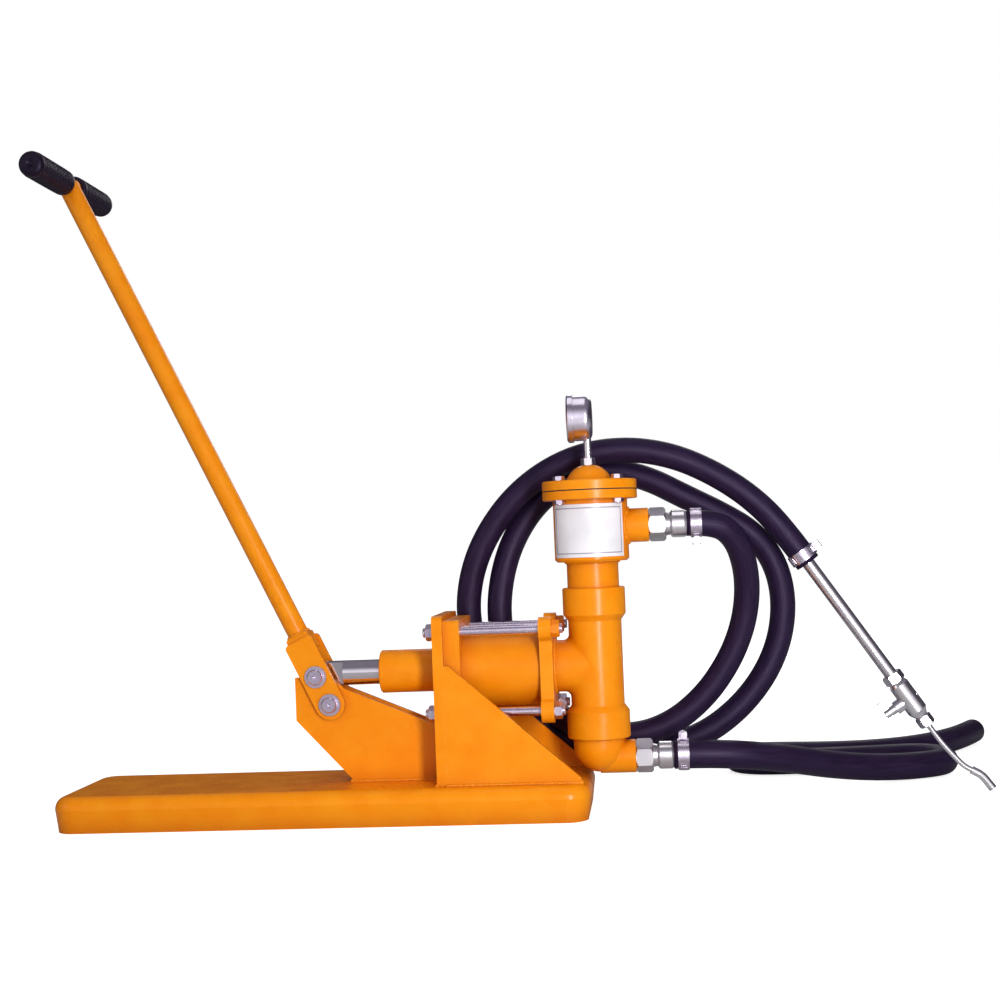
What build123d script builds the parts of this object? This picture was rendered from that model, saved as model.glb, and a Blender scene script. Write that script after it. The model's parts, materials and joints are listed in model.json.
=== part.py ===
from build123d import *
from math import asin, cos, degrees, pi, radians, sin, sqrt, tan
import os

# Hand lever injection pump. Millimetres, +Z up, X along the cylinder, lever at -X, outlets at +X.
# The origin is the middle of the base tray's footprint, on the floor.

# ---------------------------------------------------------------- driving dimensions
# Base tray
BASE_LENGTH = 680.0
BASE_WIDTH = 200.0
BASE_HEIGHT = 45.0
BASE_SHEET = 4.0
BASE_ROLL = 16.0          # radius of the rolled top edge
BASE_CORNER = 30.0        # plan radius of the corners
BASE_TOE_IN = 4.0         # how far the skirt leans in at the floor

# Cylinder
AXIS_HEIGHT = 183.0
BORE = 80.0
BARREL_WALL = 8.0
BARREL_LENGTH = 104.0
BARREL_SEAT = 4.0         # depth of the recess in each flange
GASKET = 1.5
FLANGE_SIDE = 132.0
FRONT_FLANGE = 20.0       # thickness
REAR_FLANGE = 16.0        # thickness
TIE_ROD = 12.0
TIE_SPACING = 102.0
TIE_NUT = 19.0            # across flats
TIE_NUT_HEIGHT = 10.0
TIE_END = 4.0             # thread showing past a nut

# Upright, gussets and sleeve
UPRIGHT_X = 150.0
UPRIGHT = 13.0            # thickness
UPRIGHT_WIDTH = 152.0
UPRIGHT_RISE = 6.0        # plate above the top of the flange
GUSSET = 8.0
GUSSET_TOP = 10.0         # above the rod axis
GUSSET_REACH = 166.0
GUSSET_TOE = 6.0
SLEEVE_OD = 55.0
SLEEVE_LENGTH = 77.0
BUSH_WALL = 5.0
WIPER_LENGTH = 6.0
PACKING_LENGTH = 9.0
PACKING_WALL = 6.0

# Rod and piston
ROD = 32.0
ROD_CLEARANCE = 1.0       # in the plate and flange holes, per side
RUN_FIT = 0.05            # running clearance, per side
TONGUE = 16.0             # thickness of the milled end
TONGUE_ROUND_X = 24.0     # where the round rod begins
TONGUE_END = 22.0         # tongue past the rod pin
PISTON_LENGTH = 36.0
PISTON_START = 3.0        # piston face to front flange at rest
PISTON_CLEARANCE = 0.4    # piston body in the bore, per side
SEAL_WIDTH = 6.0
SEAL_DEPTH = 5.0
SEAL_COUNT = 3
PISTON_NUT = 36.0
PISTON_NUT_HEIGHT = 11.0
ROD_THREAD = 20.0

# Lever and linkage
FULCRUM_X = 8.0
FULCRUM_DROP = 38.5       # below the rod axis
REST_ANGLE = 25.5         # lever leans this far back at its stop
SWING = 56.0
CRANK = 40.0              # fulcrum to rod pin
FULCRUM_PIN = 16.0
ROD_PIN = 14.0
SLOT_SIDE = 1.0           # play between rod pin and slot
BRACKET = 8.0             # plate thickness
BRACKET_GAP = 19.0        # between the two plates
BRACKET_BACK = -38.0
BRACKET_SCALLOP = 31.0    # radius left round the fulcrum
BRACKET_EYE = 35.0        # plate above the fulcrum
BRACKET_FRONT = 66.5      # plate's front edge above the tray
STOP_GAP = 0.5
CHEEK = 6.0
CHEEK_WIDTH = 38.0
CHEEK_ABOVE = 92.0
CHEEK_PLAY = 1.0
BLOCK_LOW = 76.0
BLOCK_HIGH = 100.0
BLOCK_WALL = 1.5          # of the fork block beside the lever tube
LEVER_TUBE = 27.0
TUBE_WALL = 3.0
TUBE_LOW = 84.0
LEVER_LENGTH = 770.0      # fulcrum to cross bar
CROSS_BAR = 22.0
CROSS_BAR_LENGTH = 252.0
GRIP_OD = 34.0
GRIP_LENGTH = 112.0
GRIP_END = 4.0
WASHER_OD = 28.0
WASHER = 2.5
WASHER_PLAY = 0.3
PIN_HEAD = 20.0
PIN_HEAD_HEIGHT = 5.0
PIN_TAIL = 8.0
SPLIT_PIN = 3.0

# Tee, elbow and valves
TEE_REACH = 52.5          # rear flange to the tee's axis
TEE_OD = 68.0
TEE_BRANCH_OD = 66.0
TEE_BORE = 50.0
TEE_RISE = 99.0           # above the rod axis
TEE_DROP = 92.0           # below the rod axis
COLLAR_OD = 80.0
COLLAR_HEIGHT = 34.0
COLLAR_TAPER = 8.0
SOCKET_DEPTH = 18.0
ELBOW_OD = 66.0
ELBOW_SPIGOT = 58.0
ELBOW_RISE = 14.0         # round of the bend above the outlet's axis
ELBOW_BORE = 32.0
OUTLET_OD = 42.0
SUCTION_DROP = 25.0       # inlet axis below the tee
SUCTION_REACH = 45.5      # tee's axis to the end of the inlet
SEAT_HEIGHT = 8.0
SEAT_BORE = 28.0
BALL = 38.0
BALL_GAP = 0.3
BALL_LIFT = 8.0
STOP_PIN = 8.0
STOP_PIN_GRIP = 6.0       # how far the pin enters each wall

# Discharge chamber
NIPPLE_OD = 66.0
CHAMBER_OD = 95.0
CHAMBER_WALL = 8.0
CHAMBER_RISE = 33.0       # above the tee
CHAMBER_FLOOR = 14.0
CHAMBER_HEIGHT = 79.0     # below its flange
CHAMBER_FLANGE = 11.0
FLANGE_LEDGE = 13.0       # flange past the chamber's wall
COVER = 12.0
COVER_BOLT = 8.0
COVER_BOLT_HEAD = 13.0
COVER_BOLT_HEAD_HEIGHT = 5.5
BOLT_OUT = 4.5            # bolt centres past the chamber's wall
DOME_BASE = 61.0
DOME_TOP = 22.0
DOME_HEIGHT = 19.0
PORT_RISE = 44.0          # above the chamber's underside
PORT_REACH = 26.0         # past the chamber's wall
PORT_OD = 43.0
PORT_BORE = 28.0
PLATE_SHEET = 0.6
PLATE_MARGIN = 6.0
PLATE_FROM = -68.0        # degrees round the chamber, 0 faces -Y
PLATE_TO = 59.0

# Gauge, dial facing -X
GAUGE_HEIGHT = 61.0       # dial centre above the dome
GAUGE_OD = 58.0
GAUGE_DEPTH = 25.0
GAUGE_BACK_R = 9.0
GAUGE_SHEET = 2.0
GAUGE_AHEAD = 18.0        # case mouth ahead of the stem
BEZEL_OD = 62.0
BEZEL_BORE = 52.0
BEZEL_DEPTH = 8.0
DIAL_SHEET = 1.0
GLASS = 2.0
STEM_OD = 13.0
STEM_HEX = 17.0
STEM_HEX_HEIGHT = 10.0
POINTER_LENGTH = 21.0
POINTER_SPINDLE = 2.0
BOURDON_R = 17.0
BOURDON_TUBE = 5.0

# Hoses and their fittings
DISCHARGE_OD = 33.0
DISCHARGE_ID = 20.0
SUCTION_OD = 36.0
SUCTION_ID = 28.0
COUPLER_LENGTH = 48.0
COUPLER_HEX = 38.0
COUPLER_HEX_LENGTH = 22.0
TAIL_LENGTH = 18.0
CLAMP_SHEET = 2.0
CLAMP_WIDTH = 14.0
CLAMP_OFFSET = 5.0        # clamp from the shoulder it sits beside
CLAMP_SCREW = 6.0

# Lance
LANCE_Y = 60.0
LANCE_START = (628.0, LANCE_Y, 301.5)
LANCE_DIP = 56.2          # degrees below level
LANCE_TUBE = 17.0
LANCE_TUBE_WALL = 2.5
LANCE_TUBE_LENGTH = 178.0
LANCE_TAIL = 19.6
VALVE_OD = 26.0
VALVE_LENGTH = 54.0
VALVE_NUT = 24.0
VALVE_NUT_LENGTH = 12.0
VALVE_BOSS = 18.0
VALVE_BOSS_REACH = 21.0
PLUG = 12.0
PLUG_PORT = 8.0
WING_REACH = 25.0         # hub from the valve's axis
WING_HUB = 12.0
WING_HUB_LENGTH = 12.0
WING_SPAN = 34.0
WING_THICK = 5.0
WING_WIDTH = 13.0
UNION_HEX = 19.0
UNION_LENGTH = 14.0
NOZZLE_OD = 7.0
NOZZLE_ID = 4.0
TIP_OD = 10.5
NOZZLE_RUN = 44.0         # straight run to its first bend
NOZZLE_BEND = (814.0, LANCE_Y, 33.0)
TIP_BEND = (836.0, LANCE_Y, 21.0)
TIP_END = (849.0, LANCE_Y, 3.6)
TIP_SOCKET = (0.45, 0.7)  # where the tip starts and the tube ends, as shares of the run between the bends

# Routes of the two hoses: hand laid points past each one's straight start at its coupler
DISCHARGE_START = 37.0    # straight start
SUCTION_START = 46.0      # straight start
DISCHARGE_ROUTE = [
    (534.0, 13.0, 338.0), (546.0, 33.0, 302.0),
    (548.0, 50.0, 262.0), (540.0, 60.0, 219.0), (521.0, 66.0, 176.0), (490.0, 70.0, 133.0),
    (447.0, 72.0, 98.0), (397.0, 74.0, 81.0), (342.0, 81.0, 86.0), (291.0, 88.0, 109.0),
    (249.0, 91.0, 149.0), (224.0, 92.0, 200.0), (218.0, 94.0, 252.0), (226.0, 97.0, 306.0),
    (245.0, 99.0, 354.0), (277.0, 99.0, 397.0), (322.0, 95.0, 427.0), (373.0, 89.0, 435.0),
    (424.0, 85.0, 422.0), (472.0, 82.0, 395.0), (519.0, 82.0, 370.0), (561.0, 85.0, 343.0),
    (588.0, 89.0, 304.0), (598.0, 93.0, 256.0), (592.0, 97.0, 204.0), (571.0, 100.0, 156.0),
    (536.0, 101.0, 113.0), (490.0, 102.0, 79.0), (436.0, 102.0, 61.0), (379.0, 102.0, 58.0),
    (321.0, 102.0, 66.0), (265.0, 101.0, 92.0), (219.0, 99.0, 135.0), (188.0, 96.0, 190.0),
    (176.0, 93.0, 247.0), (184.0, 88.0, 303.0), (207.0, 81.0, 354.0), (245.0, 75.0, 402.0),
    (293.0, 69.0, 437.0), (347.0, 63.0, 457.0), (405.0, 61.0, 460.0), (462.0, 60.0, 448.0),
    (516.0, 60.0, 421.0), (562.0, 60.0, 387.0), (598.0, 60.0, 346.3), LANCE_START,
]
SUCTION_ROUTE = [
    (540.0, 12.0, 61.0), (592.0, 47.0, 50.0),
    (645.0, 90.0, 35.0), (700.0, 129.0, 24.0), (752.0, 160.0, 18.6), (793.0, 179.0, 18.4),
    (817.0, 202.0, 18.4), (819.0, 233.0, 18.4), (795.0, 254.0, 18.4), (760.0, 253.0, 18.4),
    (708.0, 244.0, 18.4), (650.0, 239.0, 18.4), (596.0, 235.0, 18.4), (559.0, 239.0, 18.4),
    (535.0, 260.0, 18.4), (537.0, 291.0, 18.4), (563.0, 310.0, 18.4), (603.0, 309.0, 18.4),
    (656.0, 300.0, 18.4), (712.0, 301.0, 18.4), (768.0, 320.0, 18.4), (817.0, 356.0, 18.4),
    (858.0, 404.0, 18.4), (890.0, 456.0, 18.4), (914.0, 505.0, 18.4),
]

# ---------------------------------------------------------------- derived places
BASE_TOP = BASE_HEIGHT
UPRIGHT_END = UPRIGHT_X + UPRIGHT
BARREL_X = UPRIGHT_END + FRONT_FLANGE
REAR_X = BARREL_X + BARREL_LENGTH - 2 * BARREL_SEAT + 2 * GASKET
TEE_FACE = REAR_X + REAR_FLANGE
TEE_X = TEE_FACE + TEE_REACH
TEE_TOP = AXIS_HEIGHT + TEE_RISE
TEE_BOTTOM = AXIS_HEIGHT - TEE_DROP
SUCTION_HEIGHT = TEE_BOTTOM - SUCTION_DROP
SUCTION_PORT_X = TEE_X + SUCTION_REACH
CHAMBER_BOTTOM = TEE_TOP + CHAMBER_RISE
FLANGE_OD = CHAMBER_OD + 2 * FLANGE_LEDGE
COVER_PCD = CHAMBER_OD + 2 * BOLT_OUT
PORT_HEIGHT = CHAMBER_BOTTOM + PORT_RISE
PORT_X = TEE_X + CHAMBER_OD / 2 + PORT_REACH
FULCRUM_HEIGHT = AXIS_HEIGHT - FULCRUM_DROP
BLOCK_WIDTH = LEVER_TUBE + 2 * BLOCK_WALL
BARREL_OD = BORE + 2 * BARREL_WALL
TIES = [(sy * TIE_SPACING / 2, AXIS_HEIGHT + sz * TIE_SPACING / 2) for sy in (-1, 1) for sz in (-1, 1)]
TONGUE_HALF = TONGUE / 2
CHEEK_IN = BRACKET_GAP / 2 + BRACKET + CHEEK_PLAY
CHEEK_OUT = CHEEK_IN + CHEEK
COVER_Z = CHAMBER_BOTTOM + CHAMBER_HEIGHT + CHAMBER_FLANGE + GASKET
COVER_TOP = COVER_Z + COVER
DOME_Z = COVER_TOP + DOME_HEIGHT
GAUGE_Z = DOME_Z + GAUGE_HEIGHT
MOUTH_X = TEE_X - GAUGE_AHEAD
SEAT_Z = TEE_BOTTOM + SOCKET_DEPTH
UPPER_SEAT_Z = TEE_TOP - SOCKET_DEPTH - SEAT_HEIGHT
BALL_RISE = SEAT_HEIGHT + sqrt((BALL / 2) ** 2 - (SEAT_BORE / 2) ** 2) + BALL_GAP
LEVER = Pos(FULCRUM_X, 0, FULCRUM_HEIGHT) * Rot(0, -REST_ANGLE, 0)
ROD_PIN_X = FULCRUM_X - CRANK * sin(radians(REST_ANGLE))
LANCE = Location(Plane(
    origin=LANCE_START, x_dir=(-sin(radians(LANCE_DIP)), 0, -cos(radians(LANCE_DIP))),
    z_dir=(cos(radians(LANCE_DIP)), 0, -sin(radians(LANCE_DIP)))))
NUT_Z = LANCE_TUBE_LENGTH
VALVE_Z = NUT_Z + VALVE_NUT_LENGTH
UNION_Z = VALVE_Z + VALVE_LENGTH
NOZZLE_Z = UNION_Z + UNION_LENGTH

made = {}


def keep(name, *solids):
    """Collect one node's solids."""
    found = []
    for shape in solids:
        found += shape.solids()
    made[name] = found[0] if len(found) == 1 else Compound(found)


def x_rod(x0, x1, d, y=0.0, z=AXIS_HEIGHT):
    return Pos((x0 + x1) / 2, y, z) * Rot(0, 90, 0) * Cylinder(d / 2, x1 - x0)


def y_rod(y0, y1, d, x=0.0, z=0.0):
    return Pos(x, (y0 + y1) / 2, z) * Rot(90, 0, 0) * Cylinder(d / 2, y1 - y0)


def z_rod(z0, z1, d, x=0.0, y=0.0):
    return Pos(x, y, (z0 + z1) / 2) * Cylinder(d / 2, z1 - z0)


def hexagon(z0, z1, flats):
    outline = RegularPolygon(flats / 2, 6, major_radius=False)
    return Pos(0, 0, z0) * extrude(outline, z1 - z0)


def chamfered_hex(z0, z1, flats):
    """A hexagon whose corners are turned down, as on a nut."""
    height = z1 - z0
    blank = chamfer(z_rod(z0, z1, flats * 1.14).edges(), height * 0.12)
    return hexagon(z0, z1, flats) & blank


def turned(points, place=Location()):
    """Revolve an (r, z) outline about the local Z axis."""
    face = Plane.XZ * Polygon(*points, align=None)
    return place * revolve(face, Axis.Z)


def facing_x(x, y=0.0, z=AXIS_HEIGHT):
    """A place whose local Z runs along +X."""
    return Location(Plane(origin=(x, y, z), x_dir=(0, 0, -1), z_dir=(1, 0, 0)))


def xz_plate(outline, y0, y1):
    return Pos(0, y0, 0) * extrude(Plane.XZ * outline, y1 - y0, dir=(0, 1, 0))


def block(x0, x1, y0, y1, z0, z1):
    return Pos((x0 + x1) / 2, (y0 + y1) / 2, (z0 + z1) / 2) * Box(x1 - x0, y1 - y0, z1 - z0)


# ---------------------------------------------------------------- base, bracket and upright
def tray_body(inset, top, bottom):
    """Rounded tray solid, its skirt leaning in below the roll."""
    waist = BASE_HEIGHT - BASE_ROLL
    length, width = BASE_LENGTH - 2 * inset, BASE_WIDTH - 2 * inset
    corner = BASE_CORNER - inset
    lean = BASE_TOE_IN * (waist - bottom) / waist
    upper = Pos(0, 0, waist) * extrude(RectangleRounded(length, width, corner), top - waist)
    upper = fillet(upper.faces().sort_by(Axis.Z)[-1].edges(), top - waist - 0.05)
    foot = Pos(0, 0, bottom) * RectangleRounded(length - 2 * lean, width - 2 * lean, corner - lean)
    belt = Pos(0, 0, waist) * RectangleRounded(length, width, corner)
    return upper + loft([foot, belt], ruled=True)


def base_tray():
    keep("base_tray", tray_body(0, BASE_TOP, 0) - tray_body(BASE_SHEET, BASE_TOP - BASE_SHEET, 0))


def lever_brackets():
    back, front, eye = BRACKET_BACK, UPRIGHT_X, FULCRUM_HEIGHT + BRACKET_EYE
    stop = radians(REST_ANGLE + degrees(asin((ROD_PIN / 2 + STOP_GAP) / CRANK)))
    outline = Polygon(
        (back, eye), (back, FULCRUM_HEIGHT - 20), (FULCRUM_X + 24, BASE_TOP + 4),
        (FULCRUM_X + 24, BASE_TOP), (front, BASE_TOP), (front, BASE_TOP + BRACKET_FRONT),
        (FULCRUM_X + 18, AXIS_HEIGHT - ROD / 2 - 3), (FULCRUM_X, eye), align=None)
    reach = 2 * CRANK
    swept = Polygon(
        (FULCRUM_X, FULCRUM_HEIGHT),
        (FULCRUM_X - reach * tan(stop), FULCRUM_HEIGHT + reach),
        (FULCRUM_X + reach, FULCRUM_HEIGHT + reach),
        (FULCRUM_X + reach, FULCRUM_HEIGHT + reach * 0.98), align=None)
    swept = swept - Pos(FULCRUM_X, FULCRUM_HEIGHT) * Circle(BRACKET_SCALLOP)
    outline = outline - swept - Pos(FULCRUM_X, FULCRUM_HEIGHT) * Circle(FULCRUM_PIN / 2)
    inner = BRACKET_GAP / 2
    outer = inner + BRACKET
    keep("lever_brackets", xz_plate(outline, -outer, -inner), xz_plate(outline, inner, outer))


def upright_plate():
    top = AXIS_HEIGHT + FLANGE_SIDE / 2 + UPRIGHT_RISE
    plate = block(UPRIGHT_X, UPRIGHT_END, -UPRIGHT_WIDTH / 2, UPRIGHT_WIDTH / 2, BASE_TOP, top)
    plate = fillet(plate.edges().filter_by(Axis.X).group_by(Axis.Z)[-1], 8)
    plate -= x_rod(UPRIGHT_X, UPRIGHT_END, ROD + 2 * ROD_CLEARANCE)
    for y, z in TIES:
        plate -= x_rod(UPRIGHT_X, UPRIGHT_END, TIE_ROD, y, z)
    keep("upright_plate", plate)


def gussets():
    x0 = UPRIGHT_END
    x1 = UPRIGHT_END + GUSSET_REACH
    top = AXIS_HEIGHT + GUSSET_TOP
    outline = Polygon((x0, BASE_TOP), (x0, top), (x0 + GUSSET_TOE, top),
                      (x1, BASE_TOP + GUSSET_TOE), (x1, BASE_TOP), align=None)
    edge = UPRIGHT_WIDTH / 2
    keep("gussets", xz_plate(outline, -edge, GUSSET - edge), xz_plate(outline, edge - GUSSET, edge))


def rod_guides():
    front = UPRIGHT_X - SLEEVE_LENGTH
    bush_od = ROD + 2 * BUSH_WALL
    bush_x = front + WIPER_LENGTH
    sleeve = x_rod(front, UPRIGHT_X, SLEEVE_OD) - x_rod(front, UPRIGHT_X, bush_od)
    sleeve = chamfer(sleeve.faces().sort_by(Axis.X)[0].outer_wire().edges(), 1.5)
    keep("rod_sleeve", sleeve)
    hole = ROD + 2 * RUN_FIT
    keep("sleeve_bush", x_rod(bush_x, UPRIGHT_X, bush_od) - x_rod(bush_x, UPRIGHT_X, hole))
    keep("rod_wiper", x_rod(front, bush_x, bush_od) - x_rod(front, bush_x, hole))


# ---------------------------------------------------------------- cylinder
def front_flange():
    mid = (UPRIGHT_END + BARREL_X) / 2
    plate = Pos(mid, 0, AXIS_HEIGHT) * Box(FRONT_FLANGE, FLANGE_SIDE, FLANGE_SIDE)
    plate = fillet(plate.edges().filter_by(Axis.X), 6)
    plate -= x_rod(UPRIGHT_END, BARREL_X, ROD + 2 * ROD_CLEARANCE)
    plate -= x_rod(BARREL_X - BARREL_SEAT, BARREL_X, BARREL_OD)
    packing_x = BARREL_X - BARREL_SEAT - PACKING_LENGTH
    packing_od = ROD + 2 * PACKING_WALL
    plate -= x_rod(packing_x, BARREL_X, packing_od)
    for y, z in TIES:
        plate -= x_rod(UPRIGHT_END, BARREL_X, TIE_ROD, y, z)
    keep("front_flange", plate)
    packing = x_rod(packing_x, BARREL_X - BARREL_SEAT, packing_od)
    keep("rod_packing", packing - x_rod(packing_x, BARREL_X, ROD + 2 * RUN_FIT))


def cylinder_barrel():
    x0 = BARREL_X - BARREL_SEAT + GASKET
    x1 = x0 + BARREL_LENGTH
    keep("cylinder_barrel", x_rod(x0, x1, BARREL_OD) - x_rod(x0, x1, BORE))
    rings = [x_rod(x, x + GASKET, BARREL_OD) - x_rod(x, x + GASKET, BORE) for x in (x0 - GASKET, x1)]
    cover = z_rod(COVER_Z - GASKET, COVER_Z, FLANGE_OD, TEE_X)
    cover -= z_rod(COVER_Z - GASKET, COVER_Z, CHAMBER_OD - 2 * CHAMBER_WALL, TEE_X)
    cover -= bolt_circle(COVER_Z - GASKET, COVER_Z)
    keep("gaskets", *rings, cover)


def rear_flange():
    ear = (FLANGE_SIDE - TIE_SPACING) / 2
    shape = Rectangle(FLANGE_SIDE - 22, FLANGE_SIDE - 22)
    for sx in (-1, 1):
        for sy in (-1, 1):
            shape += Pos(sx * TIE_SPACING / 2, sy * TIE_SPACING / 2) * Circle(ear)
    shape = fillet(shape.vertices(), 3)
    plate = facing_x(REAR_X) * extrude(shape, REAR_FLANGE)
    plate -= x_rod(REAR_X, REAR_X + BARREL_SEAT, BARREL_OD)
    plate -= x_rod(REAR_X, TEE_FACE, TEE_BORE)
    for y, z in TIES:
        plate -= x_rod(REAR_X, TEE_FACE, TIE_ROD, y, z)
    keep("rear_flange", plate)


def tie_rods():
    x0 = UPRIGHT_X - TIE_NUT_HEIGHT - TIE_END
    x1 = TEE_FACE + TIE_NUT_HEIGHT + TIE_END
    keep("tie_rods", *[chamfer(x_rod(x0, x1, TIE_ROD, y, z).edges(), 1) for y, z in TIES])
    nuts = []
    for y, z in TIES:
        for x in (UPRIGHT_X - TIE_NUT_HEIGHT, TEE_FACE):
            nut = facing_x(x, y, z) * chamfered_hex(0, TIE_NUT_HEIGHT, TIE_NUT)
            nuts.append(nut - x_rod(x, x + TIE_NUT_HEIGHT, TIE_ROD, y, z))
    keep("tie_rod_nuts", *nuts)


# ---------------------------------------------------------------- piston and rod
def piston_and_rod():
    face = BARREL_X + PISTON_START
    end = face + PISTON_LENGTH
    nut_end = end + PISTON_NUT_HEIGHT
    tongue_x = ROD_PIN_X - TONGUE_END
    rod = x_rod(tongue_x, face, ROD) + x_rod(face, nut_end + 3, ROD_THREAD)
    side = ROD / 2
    for y0, y1 in ((-side, -TONGUE_HALF), (TONGUE_HALF, side)):
        rod -= block(tongue_x, TONGUE_ROUND_X, y0, y1, AXIS_HEIGHT - side, AXIS_HEIGHT + side)
    pin_high = FULCRUM_HEIGHT + CRANK
    pin_low = FULCRUM_HEIGHT + CRANK * cos(radians(SWING - REST_ANGLE))
    slot_width = ROD_PIN + 2 * SLOT_SIDE
    slot = SlotCenterToCenter(pin_high - pin_low + SLOT_SIDE, slot_width, rotation=90)
    slot = Pos(ROD_PIN_X, (pin_high + pin_low) / 2) * slot
    rod -= xz_plate(slot, -TONGUE_HALF, TONGUE_HALF)
    keep("piston_rod", rod)

    piston = x_rod(face, end, BORE - 2 * PISTON_CLEARANCE) - x_rod(face, end, ROD_THREAD)
    pitch = PISTON_LENGTH / SEAL_COUNT
    seals = []
    for i in range(SEAL_COUNT):
        x0 = face + (i + 0.5) * pitch - SEAL_WIDTH / 2
        groove = x_rod(x0, x0 + SEAL_WIDTH, BORE) - x_rod(x0, x0 + SEAL_WIDTH, BORE - 2 * SEAL_DEPTH)
        piston -= groove
        seals.append(groove & x_rod(x0, x0 + SEAL_WIDTH, BORE - 2 * RUN_FIT))
    keep("piston", piston)
    keep("piston_seals", *seals)
    nut = facing_x(end) * chamfered_hex(0, PISTON_NUT_HEIGHT, PISTON_NUT)
    keep("piston_nut", nut - x_rod(end, nut_end, ROD_THREAD))


# ---------------------------------------------------------------- lever
def lever():
    tube = z_rod(TUBE_LOW, LEVER_LENGTH, LEVER_TUBE)
    tube -= z_rod(TUBE_LOW, LEVER_LENGTH, LEVER_TUBE - 2 * TUBE_WALL)
    tube -= y_rod(-LEVER_TUBE, LEVER_TUBE, CROSS_BAR, 0, LEVER_LENGTH)
    keep("lever_tube", LEVER * tube.solids().sort_by(SortBy.VOLUME)[-1])

    half = CROSS_BAR_LENGTH / 2
    bar = y_rod(-half, half, CROSS_BAR, 0, LEVER_LENGTH)
    bar -= y_rod(-half, half, CROSS_BAR - 2 * TUBE_WALL, 0, LEVER_LENGTH)
    keep("cross_bar", LEVER * bar)
    grips = []
    for side in (-1, 1):
        tip = half + GRIP_END
        y0, y1 = sorted((side * tip, side * (tip - GRIP_LENGTH)))
        grip = y_rod(y0, y1, GRIP_OD, 0, LEVER_LENGTH)
        grip = fillet(grip.edges(), 5)
        b0, b1 = sorted((side * half, side * (tip - GRIP_LENGTH)))
        grips.append(LEVER * (grip - y_rod(b0, b1, CROSS_BAR, 0, LEVER_LENGTH)))
    keep("hand_grips", *grips)

    fork = block(-BLOCK_WIDTH / 2, BLOCK_WIDTH / 2, -CHEEK_IN, CHEEK_IN, BLOCK_LOW, BLOCK_HIGH)
    fork = chamfer(fork.faces().sort_by(Axis.Z)[-1].edges(), 3)
    keep("fork_block", LEVER * (fork - z_rod(TUBE_LOW, BLOCK_HIGH, LEVER_TUBE)))

    width = CHEEK_WIDTH / 2
    outline = Pos(0, CHEEK_ABOVE / 2) * Rectangle(CHEEK_WIDTH, CHEEK_ABOVE) + Circle(width)
    outline = fillet(outline.vertices().group_by(Axis.Y)[-1], 5)
    outline -= Circle(FULCRUM_PIN / 2 + RUN_FIT)
    outline -= Pos(0, CRANK) * Circle(ROD_PIN / 2)
    cheeks = [xz_plate(outline, -CHEEK_OUT, -CHEEK_IN), xz_plate(outline, CHEEK_IN, CHEEK_OUT)]
    keep("lever_cheeks", *[LEVER * cheek for cheek in cheeks])


def headed_pin(name, d, height, washer_gap):
    """A headed pin through the fork at this height, with two washers and a split pin at the far end."""
    face = CHEEK_OUT + washer_gap
    seat = face + WASHER
    pin = y_rod(-seat, seat + PIN_TAIL, d, 0, height)
    pin = chamfer(pin.edges(), 1)
    head = chamfer(y_rod(-seat - PIN_HEAD_HEIGHT, -seat, PIN_HEAD, 0, height).edges(), 1.2)
    dimple = Pos(0, -seat - PIN_HEAD_HEIGHT, height) * Sphere(3)
    split_y = seat + SPLIT_PIN / 2 + 0.8
    cross = SPLIT_PIN
    hole = Pos(0, split_y, height) * Cylinder(cross / 2, d)
    keep(name, LEVER * (pin + head - dimple - hole))
    parts = []
    for y0, y1 in ((-seat, -face), (face, seat)):
        parts.append(y_rod(y0, y1, WASHER_OD, 0, height) - y_rod(y0, y1, d, 0, height))
    split = Pos(0, split_y, height) * Cylinder(cross / 2, d + 12)
    split += Pos(0, split_y, height + d / 2 + 6) * Sphere(3)
    parts.append(split)
    keep(name + "_fasteners", *[LEVER * part for part in parts])


# ---------------------------------------------------------------- tee, elbow, valves
def pump_tee():
    run, collar = TEE_OD / 2, COLLAR_OD / 2
    low, high = TEE_BOTTOM + COLLAR_HEIGHT, TEE_TOP - COLLAR_HEIGHT
    body = turned([(0, TEE_BOTTOM), (collar - 1.5, TEE_BOTTOM), (collar, TEE_BOTTOM + 1.5), (collar, low),
                   (run, low + COLLAR_TAPER), (run, high - COLLAR_TAPER), (collar, high),
                   (collar, TEE_TOP - 1.5), (collar - 1.5, TEE_TOP), (0, TEE_TOP)], Pos(TEE_X, 0, 0))
    branch = x_rod(TEE_FACE, TEE_X, TEE_BRANCH_OD)
    body += branch
    corner = body.edges().filter_by(GeomType.BSPLINE).filter_by(
        lambda e: TEE_FACE < e.center().X < TEE_X)
    body = fillet(corner, 7)
    body -= z_rod(TEE_BOTTOM, TEE_TOP, TEE_BORE, TEE_X)
    body -= x_rod(TEE_FACE, TEE_X, TEE_BORE)
    body -= z_rod(TEE_BOTTOM, SEAT_Z, ELBOW_SPIGOT, TEE_X)
    body -= z_rod(TEE_TOP - SOCKET_DEPTH, TEE_TOP, NIPPLE_OD, TEE_X)
    body -= stop_pin(SEAT_Z)
    keep("pump_tee", body)


def stop_pin(seat_z):
    """The cross pin that limits the lift of the ball on this seat."""
    z = seat_z + BALL_RISE + BALL / 2 + BALL_LIFT + STOP_PIN / 2 + BALL_GAP
    half = TEE_BORE / 2 + STOP_PIN_GRIP
    return y_rod(-half, half, STOP_PIN, TEE_X, z)


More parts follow.
